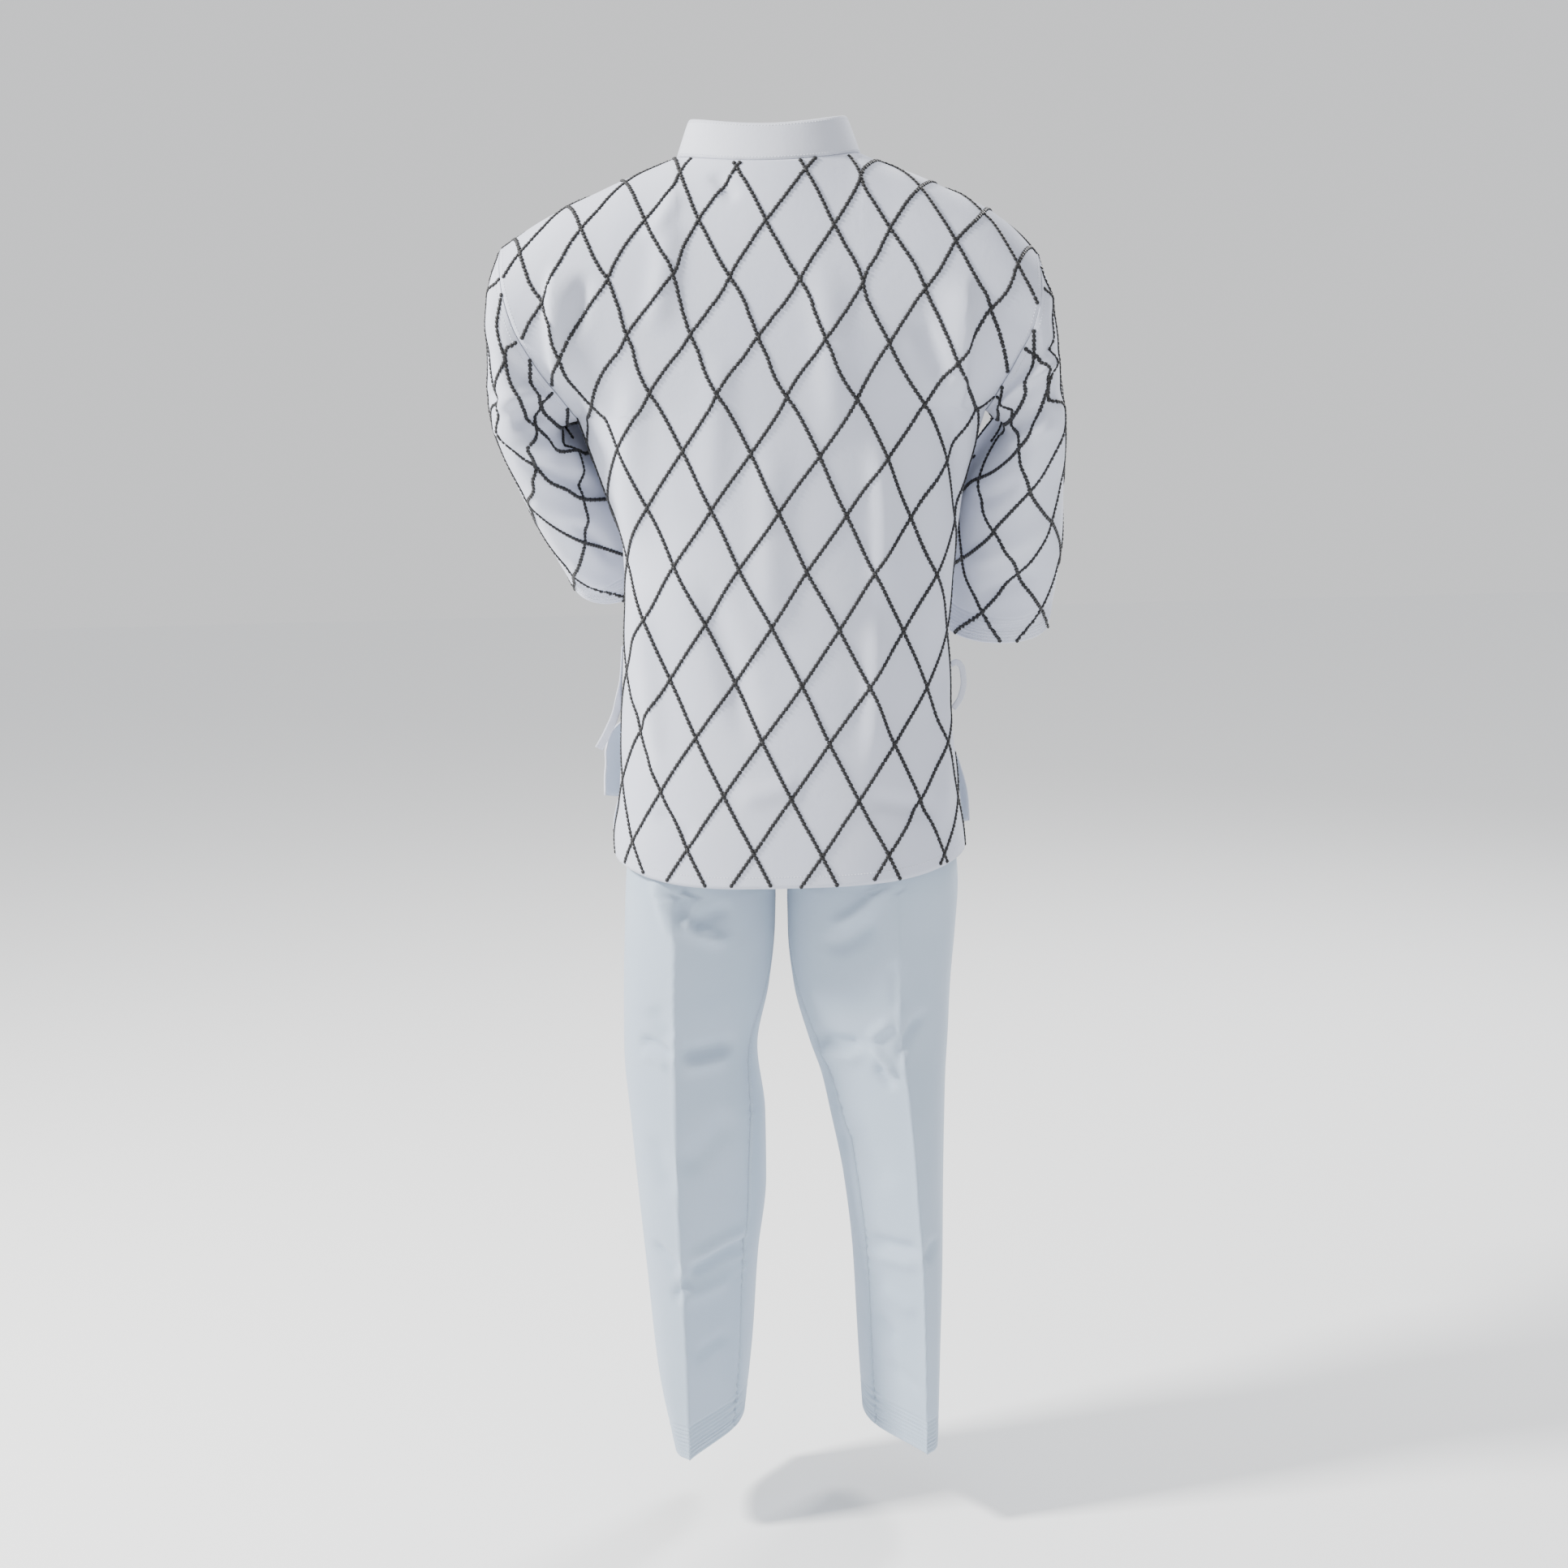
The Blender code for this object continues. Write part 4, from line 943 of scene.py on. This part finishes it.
def cotton_drill(name, light, shade, thread):
    """Woven cotton drill: slanting ribs one thread apart, slight unevenness of the yarn, and faint crumple.
    To the eye a matt white cloth with a soft sheen at grazing angles."""
    material = bpy.data.materials.new(name)
    material.use_nodes = True
    tree = material.node_tree
    shader = tree.nodes["Principled BSDF"]
    shader.inputs["Roughness"].default_value = 0.86
    shader.inputs["Specular IOR Level"].default_value = 0.28
    shader.inputs["Sheen Weight"].default_value = 0.22
    shader.inputs["Sheen Roughness"].default_value = 0.45
    spot = add(tree, "ShaderNodeUVMap", {"uv_map": "cloth"})
    on_flat = [("Vector", spot.outputs["UV"])]
    ribs = add(tree, "ShaderNodeTexWave", {"wave_type": "BANDS", "bands_direction": "DIAGONAL",
               "Scale": 2 * PI / 10 / thread, "Distortion": 0.35, "Detail": 1.0}, on_flat)
    yarn = add(tree, "ShaderNodeTexNoise", {"Scale": 0.45 / thread, "Detail": 2.0}, on_flat)
    crumple = add(tree, "ShaderNodeTexNoise", {"Scale": 26.0, "Detail": 3.0, "Roughness": 0.55}, on_flat)
    patch = add(tree, "ShaderNodeTexNoise", {"Scale": 9.0, "Detail": 2.0}, on_flat)
    mix = add(tree, "ShaderNodeMix", {"data_type": "RGBA"})
    tree.links.new(patch.outputs["Fac"], mix.inputs[0])
    mix.inputs[6].default_value = tone(shade)
    mix.inputs[7].default_value = tone(light)
    fine = add(tree, "ShaderNodeMix", {"data_type": "RGBA", "blend_type": "MULTIPLY"},
               [(6, mix.outputs[2])])
    fine.inputs[0].default_value = 0.06
    tree.links.new(ribs.outputs["Color"], fine.inputs[7])
    tree.links.new(fine.outputs[2], shader.inputs["Base Color"])
    broad = add(tree, "ShaderNodeBump", {"Strength": 0.35, "Distance": 0.0022},
                [("Height", crumple.outputs["Fac"])])
    slub = add(tree, "ShaderNodeBump", {"Strength": 0.18, "Distance": 0.0004},
               [("Height", yarn.outputs["Fac"]), ("Normal", broad.outputs["Normal"])])
    weave = add(tree, "ShaderNodeBump", {"Strength": 0.22, "Distance": 0.0003},
                [("Height", ribs.outputs["Fac"]), ("Normal", slub.outputs["Normal"])])
    tree.links.new(weave.outputs["Normal"], shader.inputs["Normal"])
    return material


def thread_material(name, code, shine, strands):
    """Twisted embroidery thread: fine strands seen as a bump, with the satin gloss of a rayon or polyester
    yarn."""
    material = bpy.data.materials.new(name)
    material.use_nodes = True
    tree = material.node_tree
    shader = tree.nodes["Principled BSDF"]
    shader.inputs["Base Color"].default_value = tone(code)
    shader.inputs["Roughness"].default_value = shine
    shader.inputs["Sheen Weight"].default_value = 0.1
    spot = add(tree, "ShaderNodeTexCoord", {})
    twist = add(tree, "ShaderNodeTexNoise", {"Scale": 1 / strands, "Detail": 1.0},
                [("Vector", spot.outputs["Object"])])
    bump = add(tree, "ShaderNodeBump", {"Strength": 0.3, "Distance": 0.0003},
               [("Height", twist.outputs["Fac"])])
    tree.links.new(bump.outputs["Normal"], shader.inputs["Normal"])
    return material


# The real drill has a rib every 0.5 mm; it is drawn at 1.3 mm, as fine as still shows in the render
JACKET_DRILL = cotton_drill("jacket_cotton_drill", "D4D8E6", "C9CEE0", 0.0013)
BAND_DRILL = cotton_drill("band_cotton_drill", "D9DCE8", "D0D4E2", 0.0013)
TROUSER_DRILL = cotton_drill("trouser_cotton_drill", "B9C8D9", "ABBCD0", 0.0013)
CORD = thread_material("black_embroidery_thread", "0B0B10", 0.55, 0.0007)
WHITE_THREAD = thread_material("white_sewing_thread", "E6EAF3", 0.6, 0.0005)
BLUE_THREAD = thread_material("trouser_sewing_thread", "C3D1E0", 0.6, 0.0005)


def finish_piece(obj, nodes, with_pieces=()):
    """The shell stands for its solid and rides on the body."""
    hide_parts(*nodes)
    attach(obj, "root")
    for extra in with_pieces:
        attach(extra, "root")


# Jacket body
def levels_of(count_low, count_high):
    """Rows from hem to shoulder, even below and above the underarm."""
    return np.concatenate([np.linspace(-1, 0, count_low)[:-1], np.linspace(0, 1, count_high)])


BODY_ROWS = levels_of(118, 78)
LEVEL_ROW = 117


def middle_of(skin, x_of_middle=0.0):
    """For each row, the column where it crosses the middle of the body."""
    cols = np.arange(skin.shape[1])
    return np.array([np.interp(x_of_middle, r, cols) if r[-1] > r[0] else np.interp(-x_of_middle, -r, cols)
                     for r in skin[..., 0]])


def shifted_line(skin, outward, distance, edge, ring=False):
    """A line that runs a set distance in from an edge of a grid (first or last row, or first or last
    column)."""
    lines = skin if edge in ("first", "last") else skin.transpose(1, 0, 2)
    outs = outward if edge in ("first", "last") else outward.transpose(1, 0, 2)
    if edge in ("last", "right"):
        lines, outs = lines[::-1], outs[::-1]
    run = np.concatenate([[0.0], np.cumsum(np.mean(np.linalg.norm(np.diff(lines, axis=0), axis=-1), 1))])
    at = np.interp(distance, run, np.arange(len(run)))
    i = min(int(at), len(run) - 2)
    a = at - i
    line = lines[i] * (1 - a) + lines[i + 1] * a
    out = outs[i] * (1 - a) + outs[i + 1] * a
    if ring:
        line = np.concatenate([line, line[:1]])
        out = np.concatenate([out, out[:1]])
    return line, out


turns = even_across(back_base, BODY_ROWS, -1e-4, -PI + 1e-4, 134)
rows = np.broadcast_to(BODY_ROWS[:, None], turns.shape)
skin, out = back_point(turns, rows)
out = skin_normals(skin, out)
place = flat_places(skin, middle_of(skin), level_row=LEVEL_ROW)
place[..., 1] -= np.interp(0.0, skin[:, 66, 2], place[:, 66, 1])
back = shell("jacket_back_cloth", skin, out, JACKET_WALL, place, JACKET_DRILL)
back_diamonds = diamond_stitches("jacket_back_diamond_stitching", skin, out, place, DIAMOND_START,
                                 DIAMOND_ACROSS, DIAMOND_DOWN)
back_seams = thread_rows("jacket_back_seam_stitching", [
    shifted_line(skin, out, 0.012, "first"), shifted_line(skin[120:], out[120:], 0.0035, "left"),
    shifted_line(skin[120:], out[120:], 0.0035, "right")], WHITE_THREAD)
finish_piece(back, ["jacket_back"],
             [back_diamonds, back_seams])

for side, name, start in ((-1, "left", (0.05, 0.02)), (1, "right", (0.03, 0.04))):
    across = even_across(lambda a, b: front_base(a, b, side), BODY_ROWS, 1e-4, 1.0, 96)
    rows = np.broadcast_to(BODY_ROWS[:, None], across.shape)
    skin, out = front_point(across, rows, side)
    out = skin_normals(skin, out)
    place = flat_places(skin, middle_of(skin, side * 0.11), level_row=LEVEL_ROW)
    place[..., 0] *= side
    place[..., 1] -= np.interp(0.0, skin[:, 40, 2], place[:, 40, 1])
    front = shell("jacket_front_" + name + "_cloth", skin, out, JACKET_WALL, place, JACKET_DRILL)
    diamonds = diamond_stitches("jacket_front_" + name + "_diamond_stitching", skin[:, ::side],
                                out[:, ::side], place[:, ::side], np.array(start),
                                DIAMOND_ACROSS * [1, -1], DIAMOND_DOWN * [-1, 1])
    seams = thread_rows("jacket_front_" + name + "_seam_stitching", [
        shifted_line(skin, out, 0.012, "first"),
        shifted_line(skin[:60], out[:60], 0.010, "left")], WHITE_THREAD)
    finish_piece(front, ["jacket_front_" + name],
                 [diamonds, seams])

# Collar band
run = np.concatenate([np.linspace(-3, -1, 150)[:-1], np.linspace(-1, 1, 70)[:-1], np.linspace(1, 3, 150)])
ACROSS, RUNS = np.meshgrid(np.linspace(0, 1, 13), run)
skin = band_point(RUNS, ACROSS)
ways = band_point(RUNS, ACROSS + 0.02) - skin
along = band_point(RUNS + 0.02, ACROSS) - band_point(RUNS - 0.02, ACROSS)
out = unit(np.cross(along, ways))
plump = (1 - (2 * ACROSS - 1) ** 6)[..., None] * 0.0006
skin = skin + out * (0.0004 + plump)
place = flat_places(skin, np.zeros(len(skin)))
band = shell("collar_band_cloth", skin, out, BAND_WALL, place[..., ::-1], BAND_DRILL)
band_rows = thread_rows("collar_band_stitching", [shifted_line(skin, out, 0.003, "left"),
                                                  shifted_line(skin, out, 0.003, "right")], WHITE_THREAD)
finish_piece(band, ["collar_band"], [band_rows])

# Sleeves
SLEEVE_RUNS = np.concatenate([np.linspace(0, 0.88, 96)[:-1], np.linspace(0.88, 1.0, 34)])
for side, name, start in ((-1, "left", (0.030, 0.010)), (1, "right", (-0.020, 0.030))):
    turns = even_across(lambda a, b: sleeve_base(a, b, side), SLEEVE_RUNS, -PI, PI, 125)[:, :-1]
    runs = np.broadcast_to(SLEEVE_RUNS[:, None], turns.shape)
    skin, out = sleeve_point(turns, runs, side)
    edge_run = np.cumsum(np.concatenate([[0], np.mean(np.linalg.norm(np.diff(skin, axis=0), axis=-1), 1)]))
    from_cuff = (edge_run[-1] - edge_run)[:, None, None]
    channels = -0.0013 * np.cos(PI * from_cuff / ROW_SPACE) ** 2 * (from_cuff < ROW_SPACE * (CUFF_ROWS + 0.4))
    skin = skin + out * channels
    smooth = skin_normals(skin, out, ring=True)
    smooth[:2] = out[:2]
    place = flat_places(skin, np.full(len(skin), 62.0), ring=True)
    place[..., 1] *= -1
    sleeve = shell("sleeve_" + name + "_cloth", skin, smooth, JACKET_WALL, place, JACKET_DRILL, ring=True)
    diamonds = diamond_stitches("sleeve_" + name + "_diamond_stitching", skin[::-1], smooth[::-1],
                                place[::-1], np.array(start), DIAMOND_ACROSS * [-1, 1], DIAMOND_DOWN)
    cuff_rows = thread_rows("sleeve_" + name + "_cuff_stitching", [
        shifted_line(skin, smooth, ROW_SPACE * k, "last", ring=True) for k in range(1, CUFF_ROWS + 1)]
        + [shifted_line(skin, smooth, 0.006, "first", ring=True)], WHITE_THREAD)
    finish_piece(sleeve, ["sleeve_" + name],
                 [diamonds, cuff_rows])

# Trousers
PANEL_TOP_Z = -0.4725
HEM_BAND_Z = TROUSER_HEM_Z + 0.045
LEG_ROWS = np.concatenate([np.linspace(PANEL_TOP_Z, CROTCH_Z, 40)[:-1],
                           np.linspace(CROTCH_Z, HEM_BAND_Z, 120)[:-1],
                           np.linspace(HEM_BAND_Z, TROUSER_HEM_Z, 34)])[::-1]
for side, where in ((-1, "left"), (1, "right")):
    for face, part in ((-1, "back"), (1, "front")):
        far = curve(INSEAM_TURN, LEG_ROWS)
        far = np.where(LEG_ROWS > CROTCH_Z, PI, far)
        stop = -far + 0.0015 if face < 0 else 2 * PI - far - 0.0015
        stop = np.where(LEG_ROWS > CROTCH_Z, face * PI, stop)
        turns = even_across(lambda a, b: leg_base(a, b, side), LEG_ROWS, face * 0.0012, stop, 72)
        rows = np.broadcast_to(LEG_ROWS[:, None], turns.shape)
        skin, out = leg_point(turns, rows, side)
        up = rows[..., None] - TROUSER_HEM_Z
        channels = -0.0013 * np.cos(PI * up / ROW_SPACE) ** 2 * (up < ROW_SPACE * (CUFF_ROWS + 0.4))
        skin = skin + out * channels
        smooth = skin_normals(skin, out)
        place = flat_places(skin, np.zeros(len(skin)))
        title = "trouser_" + part + "_" + where
        panel = shell(title + "_cloth", skin, smooth, TROUSER_WALL, place, TROUSER_DRILL)
        rows_of = [shifted_line(skin, smooth, ROW_SPACE * k, "first") for k in range(1, CUFF_ROWS + 1)]
        rows_of.append(shifted_line(skin[:150], smooth[:150], 0.003, "right"))
        hem_rows = thread_rows(title + "_stitching", rows_of, BLUE_THREAD)
        finish_piece(panel, [title],
                     [hem_rows])

loop = []
for side in (1, -1):
    turns = np.linspace(PI, -PI, 91)[1:-1] if side > 0 else np.linspace(-PI, PI, 91)[1:-1]
    loop.append(leg_base(turns, np.full_like(turns, -0.472), side))
loop = np.concatenate(loop)
WAISTBAND_LOW_Z = -0.4715
heights = np.linspace(WAISTBAND_LOW_Z, WAIST_Z, 16)
skin = np.stack([loop * np.array([1, 1, 0]) + np.array([0, 0, h]) for h in heights])
out = unit(np.cross(np.array([0, 0, 1.0]), np.roll(skin, -1, 1) - np.roll(skin, 1, 1)))
along = np.arange(skin.shape[1])[None, :]
swell = np.sin(PI * (skin[..., 2] - WAISTBAND_LOW_Z) / (WAIST_Z - WAISTBAND_LOW_Z))
gather = 0.0012 * np.sin(along * 0.9 + 0.6 * np.sin(along * 0.23)) * swell
skin = skin + out * (0.0006 + 0.0010 * swell + gather)[..., None] * 0.6
place = flat_places(skin, np.zeros(len(skin)), ring=True)
waist = shell("waistband_cloth", skin, out, 0.0026, place, TROUSER_DRILL, ring=True)
waist_rows = thread_rows("waistband_stitching", [shifted_line(skin, out, d, "first", ring=True)
                                                 for d in (0.004, 0.037)], BLUE_THREAD)
finish_piece(waist, ["waistband"],
             [waist_rows])


def tape(name, path, across, wide):
    """Tie: a flat tape carried along a smooth path, its edges thinned, with its width turned as the table
    says."""
    path = np.array(path, float)
    t = np.linspace(0, 1, len(path))
    fine = np.linspace(0, 1, 60)
    line = np.stack([curve(np.stack([t, path[:, k]], 1), fine) for k in range(3)], -1)
    over = np.array(across, float)
    over = unit(np.stack([curve(np.stack([t, over[:, k]], 1), fine) for k in range(3)], -1))
    along = unit(np.gradient(line, axis=0))
    out = unit(np.cross(along, over))
    over = np.cross(out, along)
    share = np.linspace(-1, 1, 9)
    skin = line[:, None] + over[:, None] * (share[:, None] * wide / 2) + out[:, None] * TAPE_WALL / 2
    skin = skin - out[:, None] * (share ** 4)[:, None] * 0.00025
    place = flat_places(skin, np.zeros(len(skin)))
    outs = np.repeat(out[:, None], 9, 1)
    body = shell(name + "_cloth", skin, outs, TAPE_WALL, place, BAND_DRILL)
    rows_of = [shifted_line(skin, outs, 0.0012, "left"), shifted_line(skin, outs, 0.0012, "right")]
    return body, thread_rows(name + "_stitching", rows_of, WHITE_THREAD, 0.0022, 0.0006, 0.0004)


body, rows_on = tape("tie_left", [(-0.1731, -0.008, -0.478), (-0.1760, -0.008, -0.512),
                                  (-0.1812, -0.008, -0.545), (-0.1925, -0.009, -0.572),
                                  (-0.2030, -0.010, -0.590)],
                     [(0.0, 1, 0), (0.1, 1, 0), (1, 0.6, 0), (1, 0.2, -0.5), (1, 0.2, -0.6)], 0.009)
finish_piece(body, ["tie_left"], [rows_on])
body, rows_on = tape("tie_right", [(0.1866, -0.003, -0.5075), (0.1925, -0.003, -0.5045),
                                   (0.1990, -0.003, -0.5115), (0.2005, -0.003, -0.5270),
                                   (0.1970, -0.003, -0.5430), (0.1886, -0.003, -0.5560)],
                     [(0, 0.1, 1), (0.5, 0.1, 0.8), (1, 0.1, 0.3), (1, 0.1, -0.1), (0.8, 0.1, -0.4),
                      (0.7, 0.1, -0.7)], 0.0065)
finish_piece(body, ["tie_right"],
             [rows_on])

# Floor, light and camera
FLOOR_REACH = 14.0
FLOOR_Z = -1.475
floor_skin = np.array([[-1.0, -1.0, 0.0], [1.0, -1.0, 0.0], [1.0, 1.0, 0.0], [-1.0, 1.0, 0.0]])
floor_skin = floor_skin * FLOOR_REACH + np.array([0.0, 0.0, FLOOR_Z])
paper = bpy.data.materials.new("matt_pale_floor")
paper.use_nodes = True
paper.node_tree.nodes["Principled BSDF"].inputs["Base Color"].default_value = tone("FAFBFC")
paper.node_tree.nodes["Principled BSDF"].inputs["Roughness"].default_value = 0.9
floor = put_mesh("floor", floor_skin, np.array([[0, 1, 2, 3]]), None, paper)

world = bpy.data.worlds.new("studio")
world.use_nodes = True
world.node_tree.nodes["Background"].inputs["Color"].default_value = tone("FBFCFE")
world.node_tree.nodes["Background"].inputs["Strength"].default_value = 0.95
bpy.context.scene.world = world


def soft_light(name, place, aim, size, power_watts, code="FFFFFF"):
    """Square soft box at a place, turned to its aim."""
    lamp = bpy.data.lights.new(name, "AREA")
    lamp.shape = "SQUARE"
    lamp.size = size
    lamp.energy = power_watts
    lamp.color = tone(code)[:3]
    obj = bpy.data.objects.new(name, lamp)
    obj.location = place
    obj.rotation_euler = (Vector(aim) - Vector(place)).to_track_quat("-Z", "Y").to_euler()
    bpy.context.scene.collection.objects.link(obj)
    return obj


soft_light("key", (-2.7, -0.75, 1.6), (0, 0, -0.6), 0.5, 300, "FFFDF8")
soft_light("fill", (2.2, -1.8, 0.2), (0, 0, -0.7), 1.2, 3, "EEF4FF")
soft_light("front_side", (1.8, 2.4, 1.7), (0, 0, -0.5), 0.9, 120)

lens = bpy.data.cameras.new("photo_camera")
lens.sensor_width = 36.0
lens.lens = PHOTO_FOCAL / PHOTO_WIDE * lens.sensor_width
camera = bpy.data.objects.new("photo_camera", lens)
camera.matrix_world = (Matrix.Translation((0.0, -CAMERA_BACK, CAMERA_HIGH))
                       @ Matrix.Rotation(PI / 2 - CAMERA_DOWN, 4, "X")
                       @ Matrix.Rotation(np.radians(-1.4), 4, "Z"))
bpy.context.scene.collection.objects.link(camera)
bpy.context.scene.camera = camera
